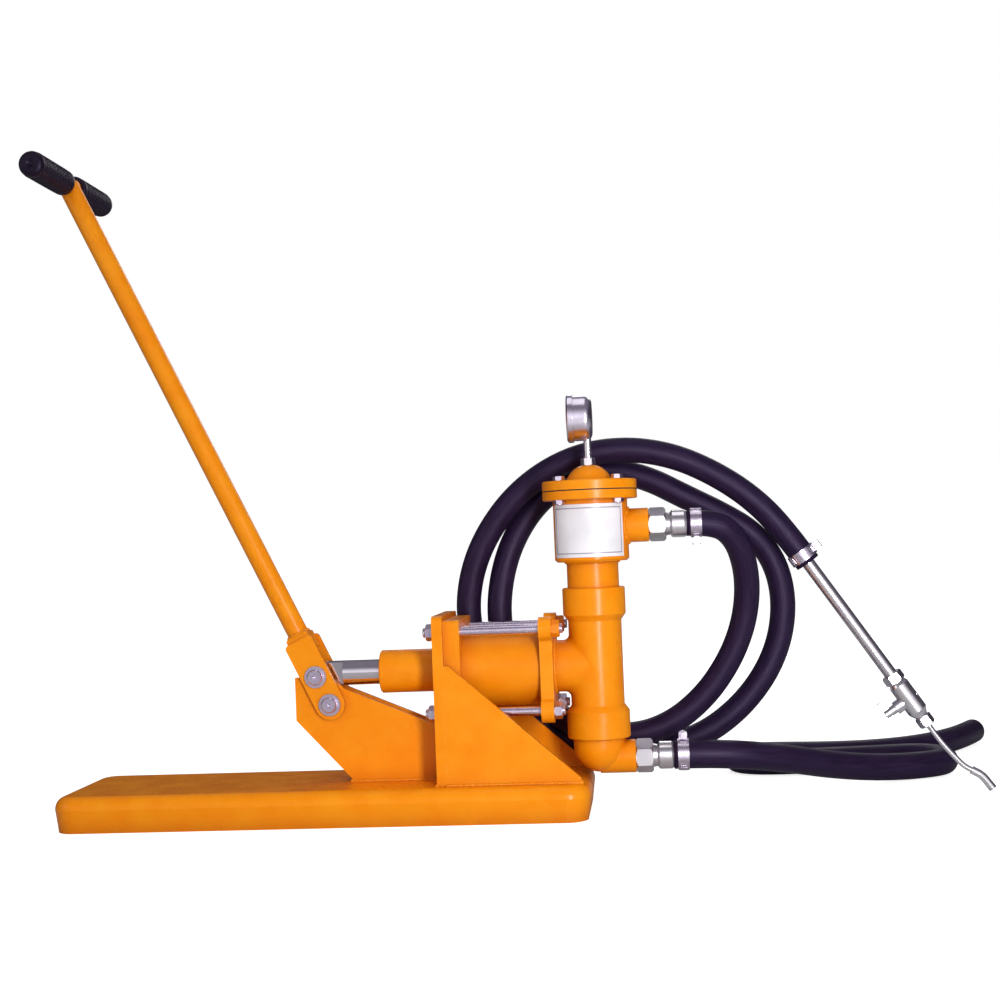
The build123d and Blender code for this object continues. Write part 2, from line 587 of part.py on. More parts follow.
def suction_elbow():
    outer = ELBOW_OD / 2
    body = z_rod(SUCTION_HEIGHT + ELBOW_RISE, TEE_BOTTOM, ELBOW_OD, TEE_X)
    bend_z = SUCTION_HEIGHT + ELBOW_RISE
    body += Pos(TEE_X, 0, bend_z) * Sphere(
        outer, arc_size1=-90, arc_size2=0, align=(Align.CENTER, Align.CENTER, Align.MAX))
    body += x_rod(TEE_X, SUCTION_PORT_X, OUTLET_OD, 0, SUCTION_HEIGHT)
    body += z_rod(TEE_BOTTOM, SEAT_Z, ELBOW_SPIGOT, TEE_X)
    body -= z_rod(SUCTION_HEIGHT, SEAT_Z, ELBOW_BORE, TEE_X)
    body -= x_rod(TEE_X, SUCTION_PORT_X, SUCTION_ID, 0, SUCTION_HEIGHT)
    body -= Pos(TEE_X, 0, SUCTION_HEIGHT) * Sphere(ELBOW_BORE / 2)
    keep("suction_elbow", body)


def valves():
    seats, pins = [], []
    for name, z in (("suction_ball", SEAT_Z), ("discharge_ball", UPPER_SEAT_Z)):
        ring = z_rod(z, z + SEAT_HEIGHT, TEE_BORE, TEE_X) - z_rod(z, z + SEAT_HEIGHT, SEAT_BORE, TEE_X)
        seats.append(ring)
        pins.append(stop_pin(z))
        keep(name, Pos(TEE_X, 0, z + BALL_RISE) * Sphere(BALL / 2))
    keep("valve_seats", *seats)
    keep("ball_stops", *pins)


# ---------------------------------------------------------------- discharge chamber
def bolt_circle(z0, z1, d=COVER_BOLT):
    shanks = []
    for i in range(4):
        turn = radians(45 + 90 * i)
        shanks.append(z_rod(z0, z1, d, TEE_X + COVER_PCD / 2 * cos(turn), COVER_PCD / 2 * sin(turn)))
    return shanks


def chamber():
    low = TEE_TOP - SOCKET_DEPTH
    high = CHAMBER_BOTTOM + CHAMBER_FLOOR - 6
    nipple = z_rod(low, high, NIPPLE_OD, TEE_X) - z_rod(low, high, TEE_BORE, TEE_X)
    keep("riser_nipple", nipple - stop_pin(UPPER_SEAT_Z))

    shoulder = CHAMBER_BOTTOM + CHAMBER_HEIGHT
    rim = shoulder + CHAMBER_FLANGE
    r, wide = CHAMBER_OD / 2, FLANGE_OD / 2
    body = turned([(0, CHAMBER_BOTTOM), (r - 3, CHAMBER_BOTTOM), (r, CHAMBER_BOTTOM + 3), (r, shoulder),
                   (wide - 1, shoulder), (wide, shoulder + 1), (wide, rim), (0, rim)], Pos(TEE_X, 0, 0))
    body += x_rod(TEE_X, PORT_X, PORT_OD, 0, PORT_HEIGHT)
    body -= z_rod(CHAMBER_BOTTOM + CHAMBER_FLOOR, rim, CHAMBER_OD - 2 * CHAMBER_WALL, TEE_X)
    body -= z_rod(CHAMBER_BOTTOM, high, NIPPLE_OD, TEE_X)
    body -= z_rod(CHAMBER_BOTTOM, rim, TEE_BORE, TEE_X)
    body -= x_rod(TEE_X, PORT_X, PORT_BORE, 0, PORT_HEIGHT)
    body -= bolt_circle(shoulder, rim)
    keep("discharge_chamber", body)

    base, top = DOME_BASE / 2, DOME_TOP / 2
    cover = z_rod(COVER_Z, COVER_TOP, FLANGE_OD, TEE_X)
    cover = chamfer(cover.edges().group_by(Axis.Z)[-1], 1.5)
    dome_r = (base ** 2 - top ** 2 + DOME_HEIGHT ** 2) / (2 * DOME_HEIGHT)
    centre = DOME_Z - dome_r + (dome_r - sqrt(dome_r ** 2 - top ** 2))
    ball = Pos(TEE_X, 0, centre) * Sphere(dome_r)
    cover += ball & z_rod(COVER_TOP - 1, DOME_Z, DOME_BASE, TEE_X)
    cover -= z_rod(COVER_Z, DOME_Z, STEM_OD, TEE_X)
    cover -= bolt_circle(COVER_Z, COVER_TOP)
    keep("chamber_cover", cover)

    bolts = []
    for shank in bolt_circle(shoulder - 6, COVER_TOP):
        at = shank.center()
        head = Pos(at.X, at.Y, COVER_TOP) * chamfered_hex(0, COVER_BOLT_HEAD_HEIGHT, COVER_BOLT_HEAD)
        nut = Pos(at.X, at.Y, shoulder) * hexagon(-5, 0, COVER_BOLT_HEAD)
        bolts.append(shank + head + (nut - chamber_wall()))
    keep("cover_bolts", *bolts)


def chamber_wall():
    return z_rod(CHAMBER_BOTTOM, CHAMBER_BOTTOM + CHAMBER_HEIGHT, CHAMBER_OD, TEE_X)


def name_plate():
    low = CHAMBER_BOTTOM + PLATE_MARGIN
    high = CHAMBER_BOTTOM + CHAMBER_HEIGHT - PLATE_MARGIN
    inner = CHAMBER_OD / 2
    face = Plane.XZ * (Pos(inner + PLATE_SHEET / 2, (low + high) / 2) * Rectangle(PLATE_SHEET, high - low))
    sheet = revolve(face, Axis.Z, revolution_arc=PLATE_TO - PLATE_FROM)
    keep("name_plate", Pos(TEE_X, 0, 0) * Rot(0, 0, PLATE_FROM - 90) * sheet)


# ---------------------------------------------------------------- gauge
def gauge():
    place = facing_x(MOUTH_X, 0, GAUGE_Z)
    r, back = GAUGE_OD / 2, GAUGE_DEPTH
    case = turned([(0, 0), (r, 0), (r, back), (0, back)], place)
    case = fillet(case.edges().group_by(Axis.X)[-1], GAUGE_BACK_R)
    inner = turned([(0, 0), (r - GAUGE_SHEET, 0), (r - GAUGE_SHEET, back - GAUGE_SHEET),
                    (0, back - GAUGE_SHEET)], place)
    inner = fillet(inner.edges().group_by(Axis.X)[-1], GAUGE_BACK_R - GAUGE_SHEET)
    stem_top = GAUGE_Z - r + 4
    keep("gauge_case", case - inner - z_rod(DOME_Z, stem_top, STEM_OD - 3, TEE_X))

    stem = z_rod(COVER_TOP + 2, DOME_Z, STEM_OD, TEE_X)
    stem += Pos(TEE_X, 0, DOME_Z) * chamfered_hex(0, STEM_HEX_HEIGHT, STEM_HEX)
    stem += z_rod(DOME_Z + STEM_HEX_HEIGHT, stem_top, STEM_OD - 3, TEE_X)
    keep("gauge_stem", stem - z_rod(COVER_TOP + 2, stem_top, 3, TEE_X))

    rb, bore = BEZEL_OD / 2, BEZEL_BORE / 2
    lip = BEZEL_DEPTH - DIAL_SHEET
    glass_r = r - GAUGE_SHEET
    glass_z = -lip + GLASS + 1
    ring = turned([(bore, -lip), (rb - 2, -lip), (rb, -lip + 2), (rb, DIAL_SHEET), (r, DIAL_SHEET),
                   (r, 0), (glass_r, 0), (glass_r, glass_z), (bore, glass_z)], place)
    keep("gauge_bezel", ring)
    keep("gauge_glass", place * z_rod(glass_z, glass_z + GLASS, 2 * glass_r))
    dial = place * (z_rod(0, DIAL_SHEET, 2 * glass_r) - z_rod(0, DIAL_SHEET, POINTER_SPINDLE + 0.4))
    keep("gauge_dial", dial)

    zero = radians(45)
    needle = Polygon((-1.4, -6), (1.4, -6), (1.1, 0), (0.4, POINTER_LENGTH),
                     (-0.4, POINTER_LENGTH), (-1.1, 0), align=None)
    plane = Plane(origin=(MOUTH_X - 1.6, 0, GAUGE_Z), x_dir=(0, -cos(zero), -sin(zero)),
                  z_dir=(1, 0, 0))
    pointer = extrude(Location(plane) * needle, 0.8)
    pointer += x_rod(MOUTH_X - 1.7, MOUTH_X - 0.6, 5, 0, GAUGE_Z)
    pointer += x_rod(MOUTH_X - 1, MOUTH_X + 8, POINTER_SPINDLE, 0, GAUGE_Z)
    keep("gauge_pointer", pointer)

    ring_x = MOUTH_X + GAUGE_DEPTH / 2 + 3
    coil = Plane(origin=(ring_x, 0, GAUGE_Z), x_dir=(0, 0, -1), z_dir=(1, 0, 0))
    path = coil * CenterArc((0, 0), BOURDON_R, 25, 250)
    section = Plane(origin=path @ 0, z_dir=path % 0) * Circle(BOURDON_TUBE / 2)
    keep("bourdon_tube", sweep(section, path))


# ---------------------------------------------------------------- couplers and clamps
def coupler(name, x, height, hose_id):
    tail = hose_id / 2 - 0.1
    shoulder = COUPLER_LENGTH
    flats = COUPLER_HEX / 2
    body = chamfered_hex(0, COUPLER_HEX_LENGTH, COUPLER_HEX)
    neck = COUPLER_HEX_LENGTH
    end = shoulder + TAIL_LENGTH
    low = tail - 0.8
    body += turned([(0, neck), (flats - 4, neck), (flats - 5, neck + 5),
                    (flats - 1.5, neck + 8), (flats - 1.5, shoulder - 3), (flats - 3, shoulder),
                    (low, shoulder), (low, shoulder + 4), (tail, shoulder + 5),
                    (low, shoulder + 10), (tail, shoulder + 11), (low, end - 2), (low, end), (0, end)])
    body -= z_rod(0, end, hose_id - 7)
    keep(name, facing_x(x, 0, height) * body)


def hose_clamp(name, place, hose_od):
    """A band with two ears and a screw, on local Z, its ears toward local +X."""
    outer = hose_od / 2 + CLAMP_SHEET
    half = CLAMP_WIDTH / 2
    band = z_rod(-half, half, 2 * outer)
    ears = block(outer - 2, outer + 9, -4, 4, -half + 2, half - 2)
    gap = block(outer - 2 * CLAMP_SHEET, outer + 9, -1.2, 1.2, -half, half)
    band = fillet((band + ears).edges().filter_by(Axis.Z).group_by(Axis.X)[-1], 2)
    band -= z_rod(-half, half, hose_od)
    screw_x = outer + 4
    band -= gap
    band -= y_rod(-5, 5, CLAMP_SCREW, screw_x)
    screw = y_rod(-7, 9, CLAMP_SCREW, screw_x) + y_rod(-11, -7, CLAMP_SCREW + 5, screw_x)
    keep(name, place * band, place * screw)


def fittings():
    coupler("discharge_coupler", PORT_X, PORT_HEIGHT, DISCHARGE_ID)
    coupler("suction_coupler", SUCTION_PORT_X, SUCTION_HEIGHT, SUCTION_ID)
    inset = CLAMP_OFFSET + CLAMP_WIDTH / 2
    offset = COUPLER_LENGTH + inset
    flipped = Rot(0, 0, 180)
    delivery = facing_x(PORT_X + offset, 0, PORT_HEIGHT)
    intake = facing_x(SUCTION_PORT_X + offset, 0, SUCTION_HEIGHT)
    hose_clamp("discharge_clamp", delivery, DISCHARGE_OD)
    hose_clamp("suction_clamp", intake * flipped, SUCTION_OD)
    hose_clamp("lance_clamp", LANCE * Pos(0, 0, -inset) * flipped, DISCHARGE_OD)


# ---------------------------------------------------------------- lance
def lance():
    tube = z_rod(0, LANCE_TUBE_LENGTH, LANCE_TUBE) + z_rod(-TAIL_LENGTH, 0, LANCE_TAIL)
    bore = LANCE_TUBE - 2 * LANCE_TUBE_WALL
    keep("lance_tube", LANCE * (tube - z_rod(-TAIL_LENGTH, LANCE_TUBE_LENGTH, bore)))

    r = VALVE_OD / 2
    body = turned([(0, VALVE_Z), (r - 3, VALVE_Z), (r, VALVE_Z + 5),
                   (r, UNION_Z - 9), (r - 5, UNION_Z), (0, UNION_Z)])
    body += chamfered_hex(NUT_Z, VALVE_Z, VALVE_NUT)
    plug_z = (VALVE_Z + UNION_Z) / 2
    across = Location(Plane(origin=(0, 0, plug_z), x_dir=(0, 0, 1), z_dir=(1, 0, 0)))
    body += across * z_rod(0, VALVE_BOSS_REACH, VALVE_BOSS)
    body -= across * z_rod(-PLUG, VALVE_BOSS_REACH, PLUG + 2 * RUN_FIT)
    body -= z_rod(NUT_Z, UNION_Z, PLUG_PORT)
    keep("lance_valve_body", LANCE * body)
    plug = z_rod(0.3 - PLUG, WING_REACH, PLUG) - Rot(0, 90, 0) * Cylinder(PLUG_PORT / 2, PLUG)
    keep("valve_plug", LANCE * across * plug)

    low, high = WING_REACH, WING_REACH + WING_HUB_LENGTH
    hub = z_rod(low, high, WING_HUB)
    wing = Pos(0, 0, low + WING_WIDTH / 2 + 3) * Box(WING_SPAN, WING_THICK, WING_WIDTH)
    wing = fillet(wing.edges().filter_by(Axis.Y), 5)
    dip = Pos(0, 0, high + 12) * Rot(90, 0, 0) * Cylinder(11, WING_THICK)
    keep("valve_handle", LANCE * across * (hub + (wing - dip)))

    union = chamfered_hex(UNION_Z, NOZZLE_Z, UNION_HEX) - z_rod(UNION_Z, NOZZLE_Z, NOZZLE_OD)
    keep("nozzle_union", LANCE * union)

    points = [tuple((LANCE * Pos(0, 0, UNION_Z + run)).position) for run in (0, NOZZLE_RUN)]
    run = Vector(*TIP_BEND) - Vector(*NOZZLE_BEND)
    tip_start, tube_end = [tuple(Vector(*NOZZLE_BEND) + run * share) for share in TIP_SOCKET]
    points += [NOZZLE_BEND, tube_end]
    keep("nozzle_tube", bent_tube(points, NOZZLE_OD, NOZZLE_ID))
    keep("nozzle_tip", bent_tube([tip_start, TIP_BEND, TIP_END], TIP_OD, NOZZLE_OD))


# ---------------------------------------------------------------- hoses
def hose_radii(points):
    """Each corner's arc, as large as its two runs allow."""
    radii = []
    for a, b, c in zip(points, points[1:], points[2:]):
        first, second = Vector(*b) - Vector(*a), Vector(*c) - Vector(*b)
        half_turn = radians(first.get_angle(second)) / 2
        radii.append(0.45 * min(first.length, second.length) / tan(half_turn))
    return radii


def round_tube(path, outer, inner):
    section = Plane(origin=path @ 0, z_dir=path % 0) * (Circle(outer / 2) - Circle(inner / 2))
    return sweep(section, path)


def bent_tube(points, outer, inner):
    return round_tube(FilletPolyline(*points, radius=hose_radii(points)), outer, inner)


def hose(name, start, straight, route, outer, inner):
    """A hose from this point straight out along X, then through its laid points."""
    x, height = start
    points = [(x, 0.0, height), (x + straight, 0.0, height)] + route
    radii = hose_radii(points)
    path = FilletPolyline(*points, radius=radii)
    tube = round_tube(path, outer, inner)
    expected = path.length * (outer ** 2 - inner ** 2) * pi / 4
    print(f"{name}: {path.length:.0f} mm long, volume / (section x length) {tube.volume / expected:.4f}")
    print("  corner radii", " ".join(f"{r:.0f}" for r in radii))
    keep(name, tube)


base_tray()
lever_brackets()
upright_plate()
gussets()
rod_guides()
front_flange()
cylinder_barrel()
rear_flange()
tie_rods()
piston_and_rod()
lever()
headed_pin("fulcrum_pin", FULCRUM_PIN, 0, WASHER_PLAY)
headed_pin("rod_pin", ROD_PIN, CRANK, 0)
pump_tee()
suction_elbow()
valves()
chamber()
name_plate()
gauge()
fittings()
lance()
hose("discharge_hose", (PORT_X + COUPLER_LENGTH, PORT_HEIGHT), DISCHARGE_START,
     DISCHARGE_ROUTE, DISCHARGE_OD, DISCHARGE_ID)
hose("suction_hose", (SUCTION_PORT_X + COUPLER_LENGTH, SUCTION_HEIGHT), SUCTION_START,
     SUCTION_ROUTE, SUCTION_OD, SUCTION_ID)

os.makedirs("parts", exist_ok=True)
for node, shape in made.items():
    export_step(shape, f"parts/{node}.step")
print(len(made), "nodes")
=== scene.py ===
"""Hand lever injection pump: finishes, hoses, welds, grips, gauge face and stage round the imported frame."""

import json
from math import cos, pi, radians, sin, sqrt

import bmesh
import bpy
from bpy.props import FloatProperty, FloatVectorProperty, IntProperty, PointerProperty
from bpy.types import Operator, Panel, PropertyGroup
from mathutils import Matrix, Vector


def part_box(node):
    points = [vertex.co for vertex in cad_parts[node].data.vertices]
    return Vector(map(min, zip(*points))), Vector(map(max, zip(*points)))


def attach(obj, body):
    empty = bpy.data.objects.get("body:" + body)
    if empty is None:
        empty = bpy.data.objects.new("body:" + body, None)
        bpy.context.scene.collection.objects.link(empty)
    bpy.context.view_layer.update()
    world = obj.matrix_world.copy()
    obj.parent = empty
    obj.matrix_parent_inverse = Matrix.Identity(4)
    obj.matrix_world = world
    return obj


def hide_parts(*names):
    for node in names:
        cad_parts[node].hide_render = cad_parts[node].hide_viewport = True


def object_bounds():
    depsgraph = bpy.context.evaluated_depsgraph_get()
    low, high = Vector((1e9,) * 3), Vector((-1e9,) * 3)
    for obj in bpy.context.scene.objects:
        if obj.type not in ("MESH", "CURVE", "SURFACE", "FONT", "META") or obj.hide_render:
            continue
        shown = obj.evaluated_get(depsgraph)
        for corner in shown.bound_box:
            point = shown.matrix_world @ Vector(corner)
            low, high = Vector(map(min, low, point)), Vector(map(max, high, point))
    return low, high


bl_info = {
    "name": "Hand lever injection pump",
    "version": (1, 0, 0),
    "blender": (4, 5, 0),
    "location": "View3D > Sidebar > Hand pump",
    "description": "Builds the visible finish of a lever pump round its packed frame",
    "category": "Object",
}

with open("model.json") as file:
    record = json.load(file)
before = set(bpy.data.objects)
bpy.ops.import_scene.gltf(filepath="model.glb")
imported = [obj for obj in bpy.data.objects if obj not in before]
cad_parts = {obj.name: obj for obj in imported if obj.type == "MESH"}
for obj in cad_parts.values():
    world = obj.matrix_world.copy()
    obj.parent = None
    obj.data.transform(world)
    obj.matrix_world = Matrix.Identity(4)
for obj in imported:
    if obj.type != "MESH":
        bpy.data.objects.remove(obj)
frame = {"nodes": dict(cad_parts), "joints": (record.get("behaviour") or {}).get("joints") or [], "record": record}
NODES = frame["nodes"]
CAD_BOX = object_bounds()

# The hoses' routes: the points of the part's source, in metres
DISCHARGE_ROUTE = [
    (0.472, 0.0, 0.359), (0.509, 0.0, 0.359), (0.534, 0.013, 0.338), (0.546, 0.033, 0.302),
    (0.548, 0.050, 0.262), (0.540, 0.060, 0.219), (0.521, 0.066, 0.176), (0.490, 0.070, 0.133),
    (0.447, 0.072, 0.098), (0.397, 0.074, 0.081), (0.342, 0.081, 0.086), (0.291, 0.088, 0.109),
    (0.249, 0.091, 0.149), (0.224, 0.092, 0.200), (0.218, 0.094, 0.252), (0.226, 0.097, 0.306),
    (0.245, 0.099, 0.354), (0.277, 0.099, 0.397), (0.322, 0.095, 0.427), (0.373, 0.089, 0.435),
    (0.424, 0.085, 0.422), (0.472, 0.082, 0.395), (0.519, 0.082, 0.370), (0.561, 0.085, 0.343),
    (0.588, 0.089, 0.304), (0.598, 0.093, 0.256), (0.592, 0.097, 0.204), (0.571, 0.100, 0.156),
    (0.536, 0.101, 0.113), (0.490, 0.102, 0.079), (0.436, 0.102, 0.061), (0.379, 0.102, 0.058),
    (0.321, 0.102, 0.066), (0.265, 0.101, 0.092), (0.219, 0.099, 0.135), (0.188, 0.096, 0.190),
    (0.176, 0.093, 0.247), (0.184, 0.088, 0.303), (0.207, 0.081, 0.354), (0.245, 0.075, 0.402),
    (0.293, 0.069, 0.437), (0.347, 0.063, 0.457), (0.405, 0.061, 0.460), (0.462, 0.060, 0.448),
    (0.516, 0.060, 0.421), (0.562, 0.060, 0.387), (0.598, 0.060, 0.3463), (0.628, 0.060, 0.3015),
]
SUCTION_ROUTE = [
    (0.444, 0.0, 0.066), (0.490, 0.0, 0.066), (0.540, 0.012, 0.061), (0.592, 0.047, 0.050),
    (0.645, 0.090, 0.035), (0.700, 0.129, 0.024), (0.752, 0.160, 0.0186), (0.793, 0.179, 0.0184),
    (0.817, 0.202, 0.0184), (0.819, 0.233, 0.0184), (0.795, 0.254, 0.0184), (0.760, 0.253, 0.0184),
    (0.708, 0.244, 0.0184), (0.650, 0.239, 0.0184), (0.596, 0.235, 0.0184), (0.559, 0.239, 0.0184),
    (0.535, 0.260, 0.0184), (0.537, 0.291, 0.0184), (0.563, 0.310, 0.0184), (0.603, 0.309, 0.0184),
    (0.656, 0.300, 0.0184), (0.712, 0.301, 0.0184), (0.768, 0.320, 0.0184), (0.817, 0.356, 0.0184),
    (0.858, 0.404, 0.0184), (0.890, 0.456, 0.0184), (0.914, 0.505, 0.0184),
]

# Measures that the frame's boxes don't give, in metres
BRACKET_FOOT_X = 0.032        # where the brackets' foot welds start
BRACKET_BACK_RISE = 0.0665    # height of the brackets' weld to the upright plate
GUSSET_SHEET = 0.008
CHAMBER_RADIUS = 0.0475
OUTLET_RADIUS = 0.0215
BORDER_RADIUS = 0.0482        # just clear of the name plate's face
LEVER_TUBE_RADIUS = 0.0135
CROSS_BAR_RADIUS = 0.011
FORK_BLOCK_TOP = 0.100        # up the lever from the fulcrum
TIE_ROD_RADIUS = 0.006
CLAMP_OFFSET = 0.012          # from a hose's end to the middle of its clamp
LANCE_DIP = radians(56.2)


# ---------------------------------------------------------------- sizes and colours
def size(name, text, default):
    return FloatProperty(name=name, description=text, default=default, min=0.0, unit="LENGTH", precision=4)


def colour(name, text, default):
    return FloatVectorProperty(name=name, description=text, default=default, size=3, min=0.0, max=1.0,
                               subtype="COLOR")


class PumpSizes(PropertyGroup):
    bead_radius: size("Weld bead", "Radius of each weld ripple", 0.0027)
    lever_bead_radius: size("Lever bead", "Radius of each ripple of the lever's welds", 0.0024)
    bead_pitch: size("Weld pitch", "Distance between weld ripples", 0.0021)
    discharge_od: size("Delivery hose", "Outside diameter of the delivery hose", 0.033)
    discharge_id: size("Delivery bore", "Bore of the delivery hose", 0.020)
    suction_od: size("Suction hose", "Outside diameter of the suction hose", 0.036)
    suction_id: size("Suction bore", "Bore of the suction hose", 0.028)
    rib_height: size("Grip rib", "Height of a rib on the hand grips", 0.0006)
    rib_count: IntProperty(name="Grip ribs", description="Ribs along each hand grip", default=17, min=2)
    dial_steps: IntProperty(name="Dial steps", description="Numbered steps on the dial", default=6,
                            min=2, max=12)
    thread_pitch: size("Thread pitch", "Pitch of the tie rods' thread", 0.00175)


class PumpColours(PropertyGroup):
    enamel: colour("Enamel", "Main paint", (0.90, 0.250, 0.002))
    enamel_light: colour("Enamel, light", "Paint where it is thick", (0.94, 0.320, 0.005))
    # painted shade: the enamel's colour in corners and under edges, where shade falls
    enamel_shade: colour("Enamel, shade", "Paint in corners and under edges", (0.36, 0.055, 0.002))
    zinc: colour("Zinc", "Bright zinc plate", (0.74, 0.66, 0.80))
    nickel: colour("Nickel", "Nickel plate", (0.93, 0.88, 0.96))
    hose: colour("Hose", "Hose rubber", (0.0125, 0.0055, 0.0240))
    grip: colour("Grip", "Grip rubber", (0.0060, 0.0025, 0.0095))
    plate: colour("Name plate", "Name plate enamel", (0.93, 0.91, 0.96))
    floor: colour("Floor", "Studio floor", (0.93, 0.93, 0.94))


def sizes():
    return bpy.context.scene.pump_sizes


def colours():
    return bpy.context.scene.pump_colours


# ---------------------------------------------------------------- node helpers
class Tree:
    """Adds nodes to one tree; a socket given as a value is linked."""

    def __init__(self, tree):
        self.tree = tree

    def node(self, kind, values=(), **settings):
        made = self.tree.nodes.new(kind)
        for key, value in settings.items():
            setattr(made, key, value)
        for key, value in dict(values).items():
            if isinstance(value, bpy.types.NodeSocket):
                self.tree.links.new(value, made.inputs[key])
            else:
                made.inputs[key].default_value = value
        return made

    def math(self, operation, a, b):
        return self.node("ShaderNodeMath", {0: a, 1: b}, operation=operation).outputs[0]

    def dot(self, a, b):
        return self.node("ShaderNodeVectorMath", {0: a, 1: b}, operation="DOT_PRODUCT").outputs["Value"]

    def mix(self, factor, a, b):
        return self.node("ShaderNodeMix", {0: factor, 6: a, 7: b}, data_type="RGBA").outputs[2]

    def ramp(self, value, low, high, start=0.0, end=1.0):
        values = {0: value, 1: low, 2: high, 3: start, 4: end}
        return self.node("ShaderNodeMapRange", values).outputs[0]

    def noise(self, vector, scale, detail, roughness=0.5):
        values = {"Vector": vector, "Scale": scale, "Detail": detail, "Roughness": roughness}
        return self.node("ShaderNodeTexNoise", values).outputs["Fac"]


def rgba(value):
    return (*value, 1.0)


def new_group(name, kind, ins, outs):
    """An empty node group with these named sockets; returns its Tree and its input node."""
    group = bpy.data.node_groups.new(name, kind)
    for label, socket, default in ins:
        made = group.interface.new_socket(label, in_out="INPUT", socket_type=socket)
        if default is not None:
            made.default_value = default
    for label, socket in outs:
        group.interface.new_socket(label, in_out="OUTPUT", socket_type=socket)
    tree = Tree(group)
    return tree, tree.node("NodeGroupInput").outputs, tree.node("NodeGroupOutput").inputs


def shader_group(name, ins, outs, build):
    found = bpy.data.node_groups.get(name)
    if found:
        return found
    tree, inner, result = new_group(name, "ShaderNodeTree", ins, outs)
    for label, value in build(tree, inner).items():
        tree.tree.links.new(value, result[label])
    return tree.tree


FLOAT, VECTOR, WHOLE = "NodeSocketFloat", "NodeSocketVector", "NodeSocketInt"
GEOMETRY, MATERIAL = "NodeSocketGeometry", "NodeSocketMaterial"


def edge_and_grime(tree, inner):
    """Masks of rubbed outer edges and of painted shade in inner corners, taken from ambient occlusion, both broken
    up by noise.
    """
    bevel = tree.node("ShaderNodeBevel", {"Radius": inner["Edge width"]}, samples=4).outputs[0]
    flat = tree.dot(bevel, tree.node("ShaderNodeNewGeometry").outputs["Normal"])
    speck = tree.noise(inner["Vector"], inner["Scale"], 6.0, 0.7)
    edge = tree.ramp(tree.math("SUBTRACT", 1.0, flat), 0.02, 0.25)
    edge = tree.math("MULTIPLY", edge, tree.ramp(speck, 0.45, 0.62))
    reach = {"Distance": inner["Corner reach"]}
    # painted shade: ambient occlusion marks the corners and creases where shade falls
    open_sky = tree.node("ShaderNodeAmbientOcclusion", reach, samples=4).outputs["AO"]
    painted_shade = tree.math("MULTIPLY", tree.ramp(open_sky, 0.86, 0.25), tree.ramp(speck, 0.2, 0.75, 0.7, 1.0))
    return {"Edge": edge, "Painted shade": painted_shade}


def fine_grain(tree, inner):
    """Height of a grain drawn out along one direction, and the slow mottle under it."""
    stretched = tree.node("ShaderNodeVectorMath", {0: inner["Vector"], 1: inner["Stretch"]},
                          operation="MULTIPLY").outputs[0]
    fine = tree.noise(stretched, inner["Scale"], 4.0, 0.6)
    coarse = tree.noise(inner["Vector"], 28.0, 2.0)
    height = tree.math("ADD", tree.math("MULTIPLY", fine, inner["Fine"]),
                       tree.math("MULTIPLY", coarse, inner["Waviness"]))
    return {"Height": height, "Mottle": coarse}


def wear_group():
    ins = [("Vector", VECTOR, None), ("Edge width", FLOAT, 0.002), ("Corner reach", FLOAT, 0.02),
           ("Scale", FLOAT, 60.0)]
    return shader_group("Rubbed edges, shade in corners", ins, [("Edge", FLOAT), ("Painted shade", FLOAT)], edge_and_grime)


def grain_group():
    ins = [("Vector", VECTOR, None), ("Stretch", VECTOR, (1.0, 1.0, 1.0)), ("Scale", FLOAT, 400.0),
           ("Fine", FLOAT, 0.5), ("Waviness", FLOAT, 0.5)]
    return shader_group("Fine grain", ins, [("Height", FLOAT), ("Mottle", FLOAT)], fine_grain)


class Finish(Tree):
    """A material: its tree, its Principled shader and the two shared groups."""

    def __init__(self, name, **constants):
        self.material = bpy.data.materials.new(name)
        self.material.use_nodes = True
        super().__init__(self.material.node_tree)
        self.shader = self.tree.nodes["Principled BSDF"]
        for key, value in constants.items():
            self.shader.inputs[key.replace("_", " ")].default_value = value
        self.place = self.node("ShaderNodeTexCoord").outputs["Object"]

    def put(self, **links):
        for key, value in links.items():
            self.tree.links.new(value, self.shader.inputs[key.replace("_", " ")])

    def wear(self, edge, reach, scale):
        """The outputs Edge, for rubbed edges, and Painted shade, the painted shade in corners from ambient
        occlusion.
        """
        values = {"Vector": self.place, "Edge width": edge, "Corner reach": reach, "Scale": scale}
        return self.node("ShaderNodeGroup", values, node_tree=wear_group()).outputs

    def grain(self, stretch, scale, fine, waviness, vector=None):
        """The outputs Height and Mottle."""
        values = {"Vector": vector or self.place, "Stretch": stretch, "Scale": scale, "Fine": fine,
                  "Waviness": waviness}
        return self.node("ShaderNodeGroup", values, node_tree=grain_group()).outputs

    def bump(self, height, strength, distance):
        node = self.node("ShaderNodeBump", {"Height": height, "Strength": strength, "Distance": distance})
        self.put(Normal=node.outputs[0])


# ---------------------------------------------------------------- finishes
EVEN = (1.0, 1.0, 1.0)             # a grain that isn't drawn out
ROUND_X = (1.0, 40.0, 40.0)
ROUND_Z = (30.0, 30.0, 1.0)
TURNED = (60.0, 1.0, 1.0)
RUBBED_PAINT = (1.0, 0.55, 0.10)


def scaled(tint, factor, lift=0.0):
    return rgba(min(1.0, c * factor + lift) for c in tint)


